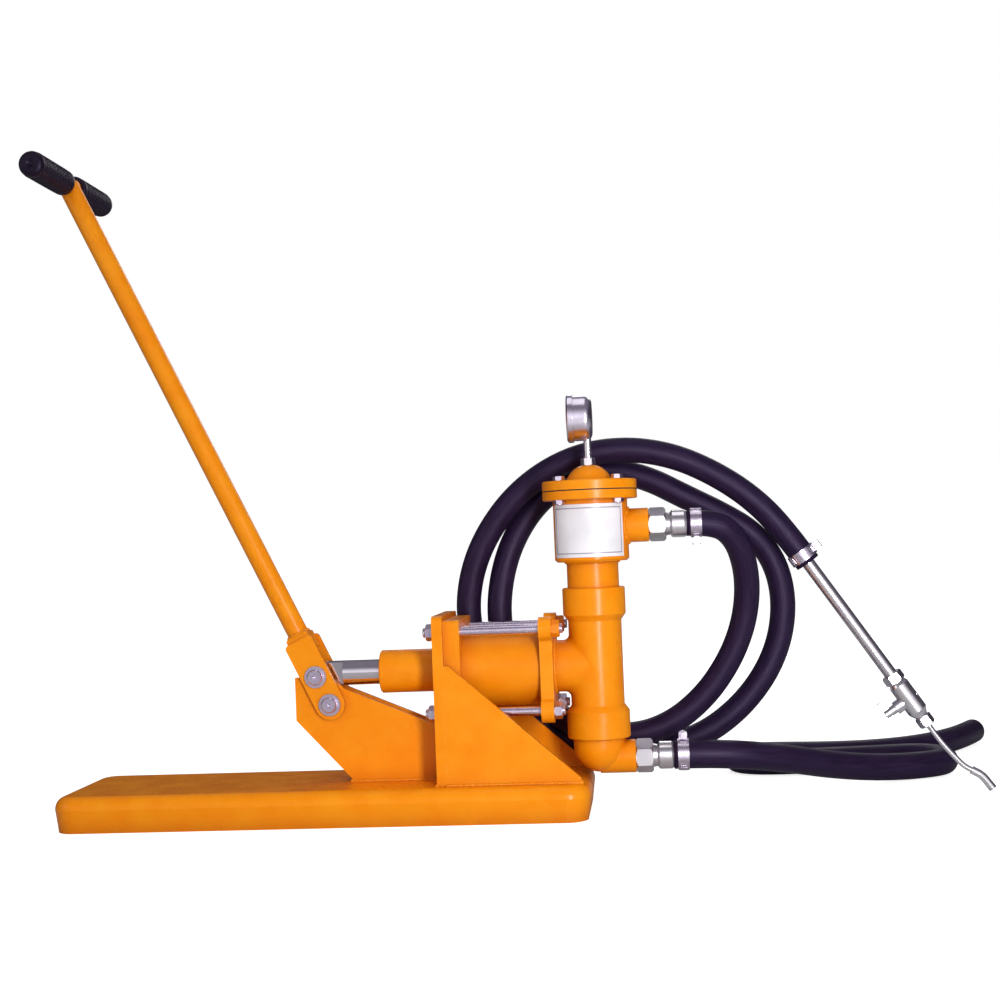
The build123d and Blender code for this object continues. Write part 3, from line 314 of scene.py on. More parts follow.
def orange_paint():
    """Brushed-on semi-gloss enamel, with painted shade darkening its corners."""
    shades = colours()
    finish = Finish("orange_paint", Metallic=0.0, Coat_Roughness=0.12, Specular_IOR_Level=0.2)
    rubbed_and_shaded = finish.wear(0.0025, 0.03, 55.0)
    grain = finish.grain((1.0, 1.0, 0.35), 220.0, 0.35, 0.45)
    thick = finish.ramp(grain["Mottle"], 0.25, 0.8)
    paint = finish.mix(thick, rgba(shades.enamel), rgba(shades.enamel_light))
    # painted shade: the enamel is darkened towards its shade colour in corners and creases, where shade falls
    paint = finish.mix(finish.math("MULTIPLY", rubbed_and_shaded["Painted shade"], 0.75), paint, rgba(shades.enamel_shade))
    paint = finish.mix(finish.math("MULTIPLY", rubbed_and_shaded["Edge"], 0.35), paint, rgba(RUBBED_PAINT))
    rough = finish.math("ADD", finish.ramp(grain["Mottle"], 0.3, 0.7, 0.22, 0.33),
                        finish.math("MULTIPLY", rubbed_and_shaded["Painted shade"], 0.25))
    finish.put(Base_Color=paint, Roughness=rough, Coat_Weight=finish.ramp(rubbed_and_shaded["Painted shade"], 0.0, 1.0, 0.04, 0.0))
    finish.bump(grain["Height"], 0.35, 0.0006)
    return finish.material


def plated(name, tint, rough, stretch, scale=900.0, dull=0.25):
    """Plated steel with fine drawn lines, painted shade darkening its corners and a rougher, dull film there."""
    finish = Finish(name, Metallic=1.0)
    rubbed_and_shaded = finish.wear(0.0008, 0.008, 150.0)
    grain = finish.grain(stretch, scale, 0.8, 0.3)
    bright = scaled(tint, 1.12)
    shade = finish.mix(finish.ramp(grain["Mottle"], 0.3, 0.7), rgba(tint), bright)
    # painted shade: the plate's colour is darkened in its corners, where shade falls
    shade = finish.mix(finish.math("MULTIPLY", rubbed_and_shaded["Painted shade"], 0.8), shade, scaled(tint, 0.42))
    shade = finish.mix(finish.math("MULTIPLY", rubbed_and_shaded["Edge"], 0.5), shade, bright)
    brushed = finish.ramp(grain["Height"], 0.3, 0.9, rough * 0.75, rough * 1.35)
    film = finish.math("MULTIPLY", rubbed_and_shaded["Painted shade"], dull)
    finish.put(Base_Color=shade, Roughness=finish.math("ADD", brushed, film))
    finish.bump(grain["Height"], 0.18, 0.00015)
    return finish


def part_painted_nuts():
    """Zinc-plated nuts; the upper rear ones have been painted over."""
    finish = plated("zinc_plate_nuts", colours().zinc, 0.26, EVEN)
    middle = centre("tie_rods")
    where = finish.node("ShaderNodeSeparateXYZ", {0: finish.place}).outputs
    behind = finish.math("GREATER_THAN", where["X"], middle.x)
    above = finish.math("GREATER_THAN", where["Z"], middle.z)
    mask = finish.math("MULTIPLY", behind, above)
    plain = finish.shader.inputs["Base Color"].links[0].from_socket
    finish.put(Base_Color=finish.mix(mask, plain, rgba(colours().enamel)),
               Metallic=finish.math("SUBTRACT", 1.0, mask))
    return finish.material


def rubber(name, tint, stretch, scale, rough, uv_map=None):
    """Moulded rubber with a soft bloom; returns it with the height of its grain."""
    finish = Finish(name, Metallic=0.0, Specular_IOR_Level=0.32, Specular_Tint=(0.75, 0.62, 0.95, 1.0))
    vector = finish.node("ShaderNodeUVMap", uv_map=uv_map).outputs[0] if uv_map else finish.place
    rubbed_and_shaded = finish.wear(0.001, 0.01, 90.0)
    grain = finish.grain(stretch, scale, 0.7, 0.4, vector)
    shade = finish.mix(finish.ramp(grain["Mottle"], 0.35, 0.7), rgba(tint), scaled(tint, 1.5, 0.002))
    shade = finish.mix(finish.math("MULTIPLY", rubbed_and_shaded["Edge"], 0.5), shade, scaled(tint, 2.0, 0.004))
    finish.put(Base_Color=shade, Roughness=finish.ramp(grain["Mottle"], 0.3, 0.7, rough * 0.85, rough * 1.25))
    return finish, grain["Height"]


def hose_rubber():
    """Cloth-wrapped hose, with the wrapping's crossed weave pressed into the rubber."""
    finish, height = rubber("hose_rubber", colours().hose, (30.0, 6.0, 1.0), 30.0, 0.42, "along")
    along = finish.node("ShaderNodeUVMap", uv_map="along").outputs[0]
    weave = []
    for turn in (1.0, -1.0):
        threads = finish.dot(along, (900.0, turn * 34.0, 0.0))
        weave.append(finish.math("SINE", finish.math("MULTIPLY", threads, pi), 0.0))
    cloth = finish.math("MULTIPLY", weave[0], weave[1])
    finish.bump(finish.math("ADD", height, finish.math("MULTIPLY", cloth, 0.22)), 0.5, 0.0005)
    return finish.material


def moulded_rubber(name, tint, scale, rough, strength, distance):
    finish, height = rubber(name, tint, EVEN, scale, rough)
    finish.bump(height, strength, distance)
    return finish.material


def enamel_plate(name, tint, rough):
    """Thin printed or enamelled sheet, faintly uneven, with painted shade darkening its corners."""
    finish = Finish(name, Metallic=0.0, Coat_Roughness=0.1)
    rubbed_and_shaded = finish.wear(0.0006, 0.01, 120.0)
    grain = finish.grain(EVEN, 300.0, 0.3, 0.5)
    shade = finish.mix(finish.ramp(grain["Mottle"], 0.3, 0.75), rgba(tint), scaled(tint, 0.82))
    # painted shade: the sheet's colour is darkened in its corners, where shade falls
    shade = finish.mix(finish.math("MULTIPLY", rubbed_and_shaded["Painted shade"], 0.4), shade, scaled(tint, 0.45))
    finish.put(Base_Color=shade, Roughness=finish.ramp(grain["Mottle"], 0.3, 0.7, rough * 0.8, rough * 1.2))
    finish.bump(grain["Height"], 0.15, 0.0002)
    return finish.material


def cast_iron():
    finish = Finish("piston_iron", Metallic=1.0)
    grain = finish.grain((12.0, 1.0, 1.0), 260.0, 0.8, 0.3)
    finish.put(Base_Color=finish.mix(grain["Mottle"], rgba((0.16, 0.16, 0.17)), rgba((0.30, 0.29, 0.29))),
               Roughness=finish.ramp(grain["Height"], 0.3, 0.9, 0.42, 0.6))
    finish.bump(grain["Height"], 0.4, 0.0002)
    return finish.material


def gauge_glass():
    finish = Finish("gauge_glass", Base_Color=(0.96, 0.98, 0.98, 1.0), IOR=1.5, Transmission_Weight=1.0,
                    Metallic=0.0)
    mottle = finish.grain(EVEN, 120.0, 0.2, 0.8)["Mottle"]
    finish.put(Roughness=finish.ramp(mottle, 0.4, 0.8, 0.0, 0.05))
    return finish.material


FINISHES = {}


def make_finishes():
    shades = colours()
    FINISHES.update({
        "orange_paint": orange_paint(),
        "zinc_plate": plated("zinc_plate", shades.zinc, 0.26, EVEN).material,
        "nickel_plate": plated("nickel_plate", shades.nickel, 0.22, (2.0, 8.0, 8.0), 700.0).material,
        "bare_steel": plated("bare_steel", (0.55, 0.56, 0.58), 0.3, ROUND_Z).material,
        "hard_chrome": plated("hard_chrome", (0.90, 0.86, 0.94), 0.10, TURNED, 500.0, 0.1).material,
        "gauge_chrome": plated("gauge_chrome", (0.80, 0.74, 0.86), 0.24, TURNED, 300.0, 0.15).material,
        "brass": plated("brass", (0.72, 0.50, 0.20), 0.22, ROUND_X).material,
        "bronze": plated("bronze", (0.60, 0.36, 0.16), 0.32, ROUND_X).material,
        "dial_white": enamel_plate("dial_white", (0.90, 0.90, 0.88), 0.4),
        "plate_white": enamel_plate("plate_white", shades.plate, 0.34),
        "plate_border": enamel_plate("plate_border", (0.33, 0.29, 0.40), 0.4),
        "pointer_black": enamel_plate("pointer_black", (0.02, 0.02, 0.02), 0.5),
        "limit_red": enamel_plate("limit_red", (0.55, 0.02, 0.015), 0.5),
        "gauge_glass": gauge_glass(),
        "seal_rubber": moulded_rubber("seal_rubber", (0.012, 0.012, 0.013), 500.0, 0.6, 0.2, 0.0002),
        "grip_rubber": moulded_rubber("grip_rubber", shades.grip, 700.0, 0.45, 0.35, 0.0003),
        "hose_rubber": hose_rubber(),
        "piston_iron": cast_iron(),
        "zinc_plate_nuts": part_painted_nuts(),
    })


# ---------------------------------------------------------------- mesh helpers
def centre(node):
    low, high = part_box(node)
    return (low + high) / 2


def seat(name, mesh, body, slot, material=None):
    """Links a finished mesh, which rides on a body and takes a slot's finish."""
    mesh.name = name
    piece = bpy.data.objects.new(name, mesh)
    bpy.context.scene.collection.objects.link(piece)
    if material or not mesh.materials:
        mesh.materials.clear()
        mesh.materials.append(FINISHES[material or slot])
    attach(piece, body)
    return piece


def mesh_of(verts, faces, smooth=False):
    mesh = bpy.data.meshes.new("made")
    mesh.from_pydata([tuple(v) for v in verts], [], faces)
    if smooth:
        mesh.shade_smooth()
    else:
        mesh.shade_flat()
    return mesh


def bar_of(sections):
    """A closed bar through these four-cornered sections, whose corners go inner low, inner high, outer low,
    outer high."""
    faces = [(0, 2, 3, 1)]
    for i in range(len(sections) - 1):
        a, b = 4 * i, 4 * i + 4
        faces += [(a + 1, a + 3, b + 3, b + 1), (a, b, b + 2, a + 2), (a + 1, b + 1, b, a),
                  (a + 2, b + 2, b + 3, a + 3)]
    last = 4 * (len(sections) - 1)
    faces.append((last + 1, last + 3, last + 2, last))
    return mesh_of([corner for section in sections for corner in section], faces)


def arc_points(radius, count, whole=2 * pi):
    """Points (along, across) at even steps round an arc, both ends included."""
    return [(radius * cos(whole * i / count), radius * sin(whole * i / count)) for i in range(count + 1)]


def lathe(profile, place, sides=64):
    """Revolves a closed (r, z) outline about the place's own Z; points at r 0 become poles."""
    shape = bmesh.new()
    rings = []
    for r, z in profile:
        if r < 1e-9:
            rings.append([shape.verts.new((0, 0, z))])
        else:
            rings.append([shape.verts.new((r * cos(2 * pi * i / sides), r * sin(2 * pi * i / sides), z))
                          for i in range(sides)])
    for a, b in zip(rings, rings[1:] + rings[:1]):
        for i in range(sides):
            j = (i + 1) % sides
            loop = [a[i % len(a)], a[j % len(a)], b[j % len(b)], b[i % len(b)]]
            kept = list(dict.fromkeys(loop))
            if len(kept) > 2:
                shape.faces.new(kept)
    bmesh.ops.recalc_face_normals(shape, faces=shape.faces)
    bmesh.ops.transform(shape, matrix=place, verts=shape.verts)
    mesh = bpy.data.meshes.new("turned")
    shape.to_mesh(mesh)
    shape.free()
    mesh.shade_smooth()
    return mesh


def joined(meshes):
    """One mesh of several that share a material."""
    shape = bmesh.new()
    for mesh in meshes:
        shape.from_mesh(mesh)
    made = bpy.data.meshes.new("joined")
    for material in meshes[0].materials:
        made.materials.append(material)
    shape.to_mesh(made)
    shape.free()
    return made


def axes(origin, z_axis, x_axis):
    """A matrix at origin with that local Z and, as near as it can be, that local X."""
    z = Vector(z_axis).normalized()
    x = Vector(x_axis)
    x = (x - z * x.dot(z)).normalized()
    y = z.cross(x)
    return Matrix(((x.x, y.x, z.x, origin[0]), (x.y, y.y, z.y, origin[1]), (x.z, y.z, z.z, origin[2]),
                   (0, 0, 0, 1)))


# ---------------------------------------------------------------- geometry node trees
def run_tree(tree, base, inputs):
    """Runs a tree on an object and returns the result as a plain mesh."""
    carrier = bpy.data.objects.new("carrier", base)
    bpy.context.scene.collection.objects.link(carrier)
    modifier = carrier.modifiers.new("Nodes", "NODES")
    modifier.node_group = tree
    for item in tree.interface.items_tree:
        if item.in_out == "INPUT" and item.name in inputs:
            modifier[item.identifier] = inputs[item.name]
    seen = carrier.evaluated_get(bpy.context.evaluated_depsgraph_get())
    mesh = bpy.data.meshes.new_from_object(seen)
    carrier.modifiers.remove(modifier)
    bpy.data.objects.remove(carrier)
    return mesh


def beads_tree():
    """Weld ripples of slightly uneven size along a path."""
    found = bpy.data.node_groups.get("Weld ripples")
    if found:
        return found
    ins = [("Path", GEOMETRY, None), ("Bead radius", FLOAT, 0.003), ("Pitch", FLOAT, 0.002),
           ("Seed", WHOLE, 4), ("Finish", MATERIAL, None)]
    tree, inner, result = new_group("Weld ripples", "GeometryNodeTree", ins, [("Mesh", GEOMETRY)])
    spaced = tree.node("GeometryNodeCurveToPoints", {"Curve": inner["Path"], "Length": inner["Pitch"]},
                       mode="LENGTH")
    ball = tree.node("GeometryNodeMeshIcoSphere", {"Radius": inner["Bead radius"], "Subdivisions": 2})
    uneven = tree.node("FunctionNodeRandomValue", {2: 0.82, 3: 1.12, "Seed": inner["Seed"]},
                       data_type="FLOAT")
    placed = tree.node("GeometryNodeInstanceOnPoints", {
        "Points": spaced.outputs["Points"], "Instance": ball.outputs["Mesh"], "Scale": uneven.outputs[1]})
    solid = tree.node("GeometryNodeRealizeInstances", {"Geometry": placed.outputs[0]})
    smooth = tree.node("GeometryNodeSetShadeSmooth", {"Geometry": solid.outputs[0]})
    done = tree.node("GeometryNodeSetMaterial", {"Geometry": smooth.outputs[0], "Material": inner["Finish"]})
    tree.tree.links.new(done.outputs[0], result["Mesh"])
    return tree.tree


def steps_tree():
    """Copies of one piece, each turned and moved on by a step about local Z."""
    found = bpy.data.node_groups.get("Steps round an axis")
    if found:
        return found
    ins = [("Piece", GEOMETRY, None), ("Count", WHOLE, 8), ("Turn", FLOAT, 0.0), ("Shift", FLOAT, 0.0),
           ("Finish", MATERIAL, None)]
    tree, inner, result = new_group("Steps round an axis", "GeometryNodeTree", ins, [("Mesh", GEOMETRY)])
    shift = tree.node("ShaderNodeCombineXYZ", {"Z": inner["Shift"]})
    row = tree.node("GeometryNodeMeshLine", {"Count": inner["Count"], "Offset": shift.outputs[0]},
                    mode="OFFSET")
    step = tree.node("GeometryNodeInputIndex").outputs[0]
    turn = tree.node("ShaderNodeCombineXYZ", {"Z": tree.math("MULTIPLY", step, inner["Turn"])})
    rotation = tree.node("FunctionNodeEulerToRotation", {0: turn.outputs[0]})
    placed = tree.node("GeometryNodeInstanceOnPoints", {
        "Points": row.outputs[0], "Instance": inner["Piece"], "Rotation": rotation.outputs[0]})
    solid = tree.node("GeometryNodeRealizeInstances", {"Geometry": placed.outputs[0]})
    done = tree.node("GeometryNodeSetMaterial", {"Geometry": solid.outputs[0], "Material": inner["Finish"]})
    tree.tree.links.new(done.outputs[0], result["Mesh"])
    return tree.tree


def stepped(mesh, count, turn, shift, finish, place):
    inputs = {"Count": count, "Turn": turn, "Shift": shift, "Finish": FINISHES[finish]}
    made = run_tree(steps_tree(), mesh, inputs)
    made.transform(place)
    return made


def path_curve(lines):
    """A curve object's data holding each run of points as a poly spline."""
    data = bpy.data.curves.new("path", "CURVE")
    data.dimensions = "3D"
    for points in lines:
        spline = data.splines.new("POLY")
        spline.points.add(len(points) - 1)
        for point, place in zip(spline.points, points):
            point.co = (*place, 1.0)
    return data


def welded(name, lines, body, radius):
    inputs = {"Bead radius": radius, "Pitch": sizes().bead_pitch, "Seed": 4,
              "Finish": FINISHES["orange_paint"]}
    return seat(name, run_tree(beads_tree(), path_curve(lines), inputs), body, "orange_paint")


def ring_path(place, radius):
    return [place @ Vector((along, across, 0)) for along, across in arc_points(radius, 72)]


# ---------------------------------------------------------------- pieces
def lever_place():
    """The lever's own frame: origin at the fulcrum, Z up the lever, X forward."""
    fulcrum = Vector(next(j for j in frame["joints"] if j["name"] == "lever_swing")["pos_m"])
    return axes(fulcrum, centre("cross_bar") - fulcrum, (1, 0, 0))


def lever_length():
    """From the fulcrum to the axis of the cross bar."""
    return (centre("cross_bar") - lever_place().translation).length


def finish_nodes():
    """Each CAD node takes its slot's finish."""
    for part in frame["record"]["subparts"]:
        node = part["node"]
        material = "zinc_plate_nuts" if node == "tie_rod_nuts" else part["material_slot"]
        mesh = NODES[node].data
        mesh.materials.clear()
        mesh.materials.append(FINISHES[material])


def stand_welds():
    """Beads along the foot and back of the brackets and gussets, and round the pump's joints."""
    tray_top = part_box("base_tray")[1].z
    bracket_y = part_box("lever_brackets")[1].y
    plate_low, plate_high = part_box("upright_plate")
    gusset_low, gusset_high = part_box("gussets")
    sleeve_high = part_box("rod_sleeve")[1]
    lines = []
    for side in (-1, 1):
        y = side * bracket_y
        lines.append([(BRACKET_FOOT_X, y, tray_top), (plate_low.x, y, tray_top)])
        lines.append([(plate_low.x, y, tray_top), (plate_low.x, y, tray_top + BRACKET_BACK_RISE)])
        lines.append([(plate_low.x, y, tray_top), (plate_low.x, side * plate_high.y, tray_top)])
        edge = side * gusset_high.y
        inside = edge - side * GUSSET_SHEET
        lines.append([(gusset_low.x, edge, tray_top), (gusset_high.x, edge, tray_top)])
        lines.append([(gusset_low.x, inside, tray_top), (gusset_high.x, inside, tray_top)])
        lines.append([(gusset_low.x, inside, tray_top), (gusset_low.x, inside, gusset_high.z)])
    axis_z = centre("cylinder_barrel").z
    lines.append(ring_path(axes((sleeve_high.x, 0, axis_z), (1, 0, 0), (0, 0, 1)), sleeve_high.y))
    tee_x = centre("suction_ball").x
    nipple_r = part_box("riser_nipple")[1].y
    chamber_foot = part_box("discharge_chamber")[0].z
    flange_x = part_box("rear_flange")[1].x
    lines.append(ring_path(axes((tee_x, 0, chamber_foot), (0, 0, 1), (1, 0, 0)), nipple_r))
    lines.append(ring_path(axes((flange_x, 0, axis_z), (1, 0, 0), (0, 0, 1)), nipple_r))
    port_z = centre("discharge_coupler").z
    lines.append([(tee_x + sqrt(CHAMBER_RADIUS ** 2 - y ** 2), y, port_z + rise)
                  for y, rise in arc_points(OUTLET_RADIUS, 60)])
    welded("stand_welds", lines, "stand", sizes().bead_radius)


def lever_welds():
    """The bead where the tube enters the fork block, and the two halves of the cross bar's saddle."""
    place, length = lever_place(), lever_length()
    lines = [ring_path(place @ Matrix.Translation((0, 0, FORK_BLOCK_TOP)), LEVER_TUBE_RADIUS)]
    for side in (-1, 1):
        saddle = []
        for x, drop in arc_points(CROSS_BAR_RADIUS, 30, pi):
            y = side * sqrt(LEVER_TUBE_RADIUS ** 2 - x ** 2)
            saddle.append(place @ Vector((x, y, length - drop)))
        lines.append(saddle)
    welded("lever_welds", lines, "lever", sizes().lever_bead_radius)


def tube_mesh(points, outer, inner, sides=40):
    """A closed hollow tube along these points, with a UV map of metres along and turns round."""
    shape = bmesh.new()
    uv = shape.loops.layers.uv.new("along")
    frames, run = [], 0.0
    across = Vector((0, 0, 1))
    for i, point in enumerate(points):
        ahead = points[min(i + 1, len(points) - 1)] - points[max(i - 1, 0)]
        ahead.normalize()
        across = (across - ahead * across.dot(ahead)).normalized()
        if i:
            run += (point - points[i - 1]).length
        frames.append((point, across.copy(), ahead.cross(across), run))
    lip = 0.0012
    rings = [(frames[0], inner), (frames[0], outer - lip)]
    rings += [(f, outer) for f in frames]
    rings += [(frames[-1], outer - lip), (frames[-1], inner)]
    rings += [(f, inner) for f in reversed(frames[1:-1])]
    turns = [2 * pi * k / sides for k in range(sides)]
    loops = []
    for (point, u, v, along), r in rings:
        ring = [shape.verts.new(point + (u * cos(turn) + v * sin(turn)) * r) for turn in turns]
        loops.append((ring, along))
    for (a, start), (b, end) in zip(loops, loops[1:] + loops[:1]):
        for k in range(sides):
            n = (k + 1) % sides
            face = shape.faces.new((a[k], a[n], b[n], b[k]))
            for corner, value in zip(face.loops, ((start, k), (start, k + 1), (end, k + 1), (end, k))):
                corner[uv].uv = (value[0], value[1] / sides)
            face.smooth = True
    bmesh.ops.recalc_face_normals(shape, faces=shape.faces)
    mesh = bpy.data.meshes.new("tube")
    shape.to_mesh(mesh)
    shape.free()
    return mesh


def route_points(route):
    """The points of a smooth line whose control points are the route's."""
    data = bpy.data.curves.new("route", "CURVE")
    data.dimensions = "3D"
    data.resolution_u = 8
    spline = data.splines.new("NURBS")
    spline.points.add(len(route) - 1)
    for point, place in zip(spline.points, route):
        point.co = (*place, 1.0)
    spline.order_u = 3
    spline.use_endpoint_u = True
    holder = bpy.data.objects.new("route", data)
    bpy.context.scene.collection.objects.link(holder)
    line = bpy.data.meshes.new_from_object(holder.evaluated_get(bpy.context.evaluated_depsgraph_get()))
    points = [v.co.copy() for v in line.vertices]
    bpy.data.objects.remove(holder)
    return points


def laid_hose(name, points, outside, bore):
    return seat(name, tube_mesh(points, outside / 2, bore / 2), "stand", "hose_rubber")


def delivery_hose():
    points = route_points(DISCHARGE_ROUTE)
    hose = laid_hose("delivery_hose", points, sizes().discharge_od, sizes().discharge_id)
    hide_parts("discharge_hose")


def suction_hose():
    points = route_points(SUCTION_ROUTE)
    hose = laid_hose("intake_hose", points, sizes().suction_od, sizes().suction_id)
    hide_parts("suction_hose")


def hand_grips():
    """Two rubber sleeves with a rounded end, a shoulder at the inner end and fine ribs between."""
    bar = lever_place() @ Matrix.Translation((0, 0, lever_length()))
    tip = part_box("hand_grips")[1].y
    r, length, cap_r = 0.0166, 0.112, 0.0075
    dimple = [(0, 0.0022), (0.0030, 0.0022), (0.0042, 0.0008), (0.0056, 0)]
    cap = [(r - cap_r + across, cap_r - along) for along, across in arc_points(cap_r, 8, pi / 2)]
    shoulder = [(r, length - 0.009), (r + 0.0004, length - 0.008), (r + 0.0004, length - 0.002),
                (r - 0.0012, length)]
    bore = [(CROSS_BAR_RADIUS, length), (CROSS_BAR_RADIUS, 0.004), (0, 0.004)]
    height = sizes().rib_height
    rib = lathe([(r - 0.0006, -0.0016), (r + height * 0.7, -0.0008), (r + height, 0),
                 (r + height * 0.7, 0.0008), (r - 0.0006, 0.0016)], Matrix.Identity(4), 48)
    pitch = (length - 0.026) / (sizes().rib_count - 1)
    parts = []
    for side in (-1, 1):
        end = bar @ axes((0, side * tip, 0), (0, -side, 0), (1, 0, 0))
        ribs_start = end @ Matrix.Translation((0, 0, 0.013))
        parts.append(lathe(dimple + cap + shoulder + bore, end))
        parts.append(stepped(rib, sizes().rib_count, 0.0, pitch, "grip_rubber", ribs_start))
    mesh = joined(parts)
    mesh.shade_smooth()
    grips = seat("rubber_grips", mesh, "lever", "grip_rubber", "grip_rubber")
    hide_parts("hand_grips")


def dial_place():
    """The dial's own frame: Z out of its face towards the reader, X at the pointer's rest."""
    low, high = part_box("gauge_dial")
    middle = (low + high) / 2
    return axes((low.x, middle.y, middle.z), (-1, 0, 0), (0, 1, -1))


def flat_patch(r0, r1, a0, a1, count):
    """A thin arc of a ring, lying on the dial, clockwise from angle a0 to a1."""
    sections = []
    for i in range(count + 1):
        turn = -(a0 + (a1 - a0) * i / count)
        sections.append([(r * cos(turn), r * sin(turn), z) for r in (r0, r1) for z in (0, 0.00008)])
    return bar_of(sections)


def dial_number(value, turn):
    """A small printed number, upright on the dial at this angle."""
    text = bpy.data.curves.new("number", "FONT")
    text.body = str(value)
    text.size = 0.0052
    text.extrude = 0.00004
    text.align_x = "CENTER"
    text.align_y = "CENTER"
    holder = bpy.data.objects.new("number", text)
    bpy.context.scene.collection.objects.link(holder)
    number = bpy.data.meshes.new_from_object(holder.evaluated_get(bpy.context.evaluated_depsgraph_get()))
    bpy.data.objects.remove(holder)
    spot = Matrix.Translation((0.0132 * cos(turn), 0.0132 * sin(turn), text.extrude))
    number.transform(spot @ Matrix.Rotation(radians(135), 4, "Z"))
    return number


def gauge_face():
    """The dial's ring, its long and short ticks, its numbers and the arc past the working range."""
    place = dial_place()
    sweep = radians(270)
    steps = sizes().dial_steps - 1
    ring_r = 0.0204
    parts = [flat_patch(ring_r, 0.0207, 0, sweep, 60)]
    for count, inner, half_width in ((steps + 1, 0.0168, 0.014), (steps * 5 + 1, 0.0186, 0.008)):
        tick = flat_patch(inner, ring_r, -half_width, half_width, 2)
        turn = -sweep / (count - 1)
        parts.append(stepped(tick, count, turn, 0.0, "pointer_black", Matrix.Identity(4)))
    for i in range(steps + 1):
        parts.append(dial_number(2 * i, -sweep * i / steps))
    marks = joined(parts)
    marks.transform(place)
    marks.shade_flat()
    seat("dial_marks", marks, "stand", "pointer_black", "pointer_black")
    limit = flat_patch(0.0208, 0.0222, sweep * 0.8, sweep, 16)
    limit.transform(place)
    seat("dial_limit", limit, "stand", "dial_white", "limit_red")


def plate_border():
    """The printed border of the name plate, a hair proud of it."""
    low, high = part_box("name_plate")
    tee_x = centre("suction_ball").x
    margin, width, sheet = 0.0045, 0.0012, 0.00012
    start, end = radians(-63), radians(54)
    bottom, top = low.z + margin, high.z - margin
    edge = width / BORDER_RADIUS

    def strip(a0, a1, z0, z1, count):
        sections = []
        for i in range(count + 1):
            turn = a0 + (a1 - a0) * i / count
            sections.append([(tee_x + r * sin(turn), -r * cos(turn), z)
                             for r in (BORDER_RADIUS, BORDER_RADIUS + sheet) for z in (z0, z1)])
        return bar_of(sections)

    parts = [strip(start, end, bottom, bottom + width, 40),
             strip(start, end, top - width, top, 40),
             strip(start, start + edge, bottom + width, top - width, 2),
             strip(end - edge, end, bottom + width, top - width, 2)]
    seat("plate_border", joined(parts), "stand", "plate_white", "plate_border")


def thread_ridges():
    """Thread on the ends of the tie rods that stand out of their nuts."""
    low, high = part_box("tie_rods")
    middle = centre("tie_rods")
    r, end_gap = TIE_ROD_RADIUS, 0.0012
    reach_y, reach_z = high.y - r, high.z - middle.z - r
    pitch = sizes().thread_pitch
    ridge = [(r - 0.0004, -pitch * 0.45), (r + 0.00025, 0), (r - 0.0004, pitch * 0.45)]
    ring = lathe(ridge, Matrix.Identity(4), 32)
    parts = []
    for side_y in (-1, 1):
        for side_z in (-1, 1):
            y, z = middle.y + side_y * reach_y, middle.z + side_z * reach_z
            for x, way in ((low.x, 1), (high.x, -1)):
                spot = axes((x + way * end_gap, y, z), (way, 0, 0), (0, 0, 1))
                parts.append(stepped(ring, 2, 0.0, pitch, "zinc_plate", spot))
    seat("tie_rod_threads", joined(parts), "stand", "zinc_plate", "zinc_plate")


def clamp_ridge(r):
    """One pressed ridge on a clamp's band, tapering up from its foot at this radius."""
    foot, crest = r - 0.0003, r + 0.0003
    verts = [(foot, -0.0005, -0.0045), (foot, 0.0005, -0.0045), (foot, 0.0005, 0.0045),
             (foot, -0.0005, 0.0045), (crest, 0, -0.004), (crest, 0, 0.004)]
    return mesh_of(verts, [(3, 2, 1, 0), (1, 4, 0), (5, 2, 3), (2, 5, 4, 1), (4, 5, 3, 0)])


def clamp_ridges():
    """The pressed cross ridges round each hose clamp's band, left out at its ears."""
    forward = Vector((1, 0, 0))
    outlet, intake = Vector(DISCHARGE_ROUTE[0]), Vector(SUCTION_ROUTE[0])
    hose_end = Vector(DISCHARGE_ROUTE[-1])
    lance_way = (centre("lance_tube") - hose_end).normalized()
    lance_ears = Vector((sin(LANCE_DIP), 0, cos(LANCE_DIP)))
    delivery, suction = sizes().discharge_od, sizes().suction_od
    clamps = [(outlet + forward * CLAMP_OFFSET, forward, Vector((0, 0, -1)), delivery),
              (intake + forward * CLAMP_OFFSET, forward, Vector((0, 0, 1)), suction),
              (hose_end - lance_way * CLAMP_OFFSET, lance_way, lance_ears, delivery)]
    count, skip, band = 34, 3, 0.002
    turn = 2 * pi / count
    start = Matrix.Rotation(skip * turn, 4, "Z")
    parts = []
    for spot, along, ears, diameter in clamps:
        ridge = clamp_ridge(diameter / 2 + band)
        place = axes(spot, along, ears) @ start
        parts.append(stepped(ridge, count - 2 * skip + 1, turn, 0.0, "zinc_plate", place))
    seat("clamp_ridges", joined(parts), "stand", "zinc_plate", "zinc_plate")


# ---------------------------------------------------------------- stage
def camera():
    """In front at the pump's height, looking along Y, a little to the left and up, with a slight roll."""
    yaw, pitch, roll = radians(5.45), radians(1.32), radians(2.3)
    place = (0.426, -2.0, 0.352)
    right = Vector((cos(yaw), sin(yaw), 0))
    ahead = Vector((-sin(yaw) * cos(pitch), cos(yaw) * cos(pitch), sin(pitch)))
    up = Vector((sin(yaw) * sin(pitch), -cos(yaw) * sin(pitch), cos(pitch)))
    data = bpy.data.cameras.new("camera")
    data.lens = 56.2
    data.sensor_width = 36.0
    data.clip_end = 60.0
    made = bpy.data.objects.new("camera", data)
    bpy.context.scene.collection.objects.link(made)
    made.matrix_world = axes(place, -ahead, right * cos(roll) - up * sin(roll))
    bpy.context.scene.camera = made


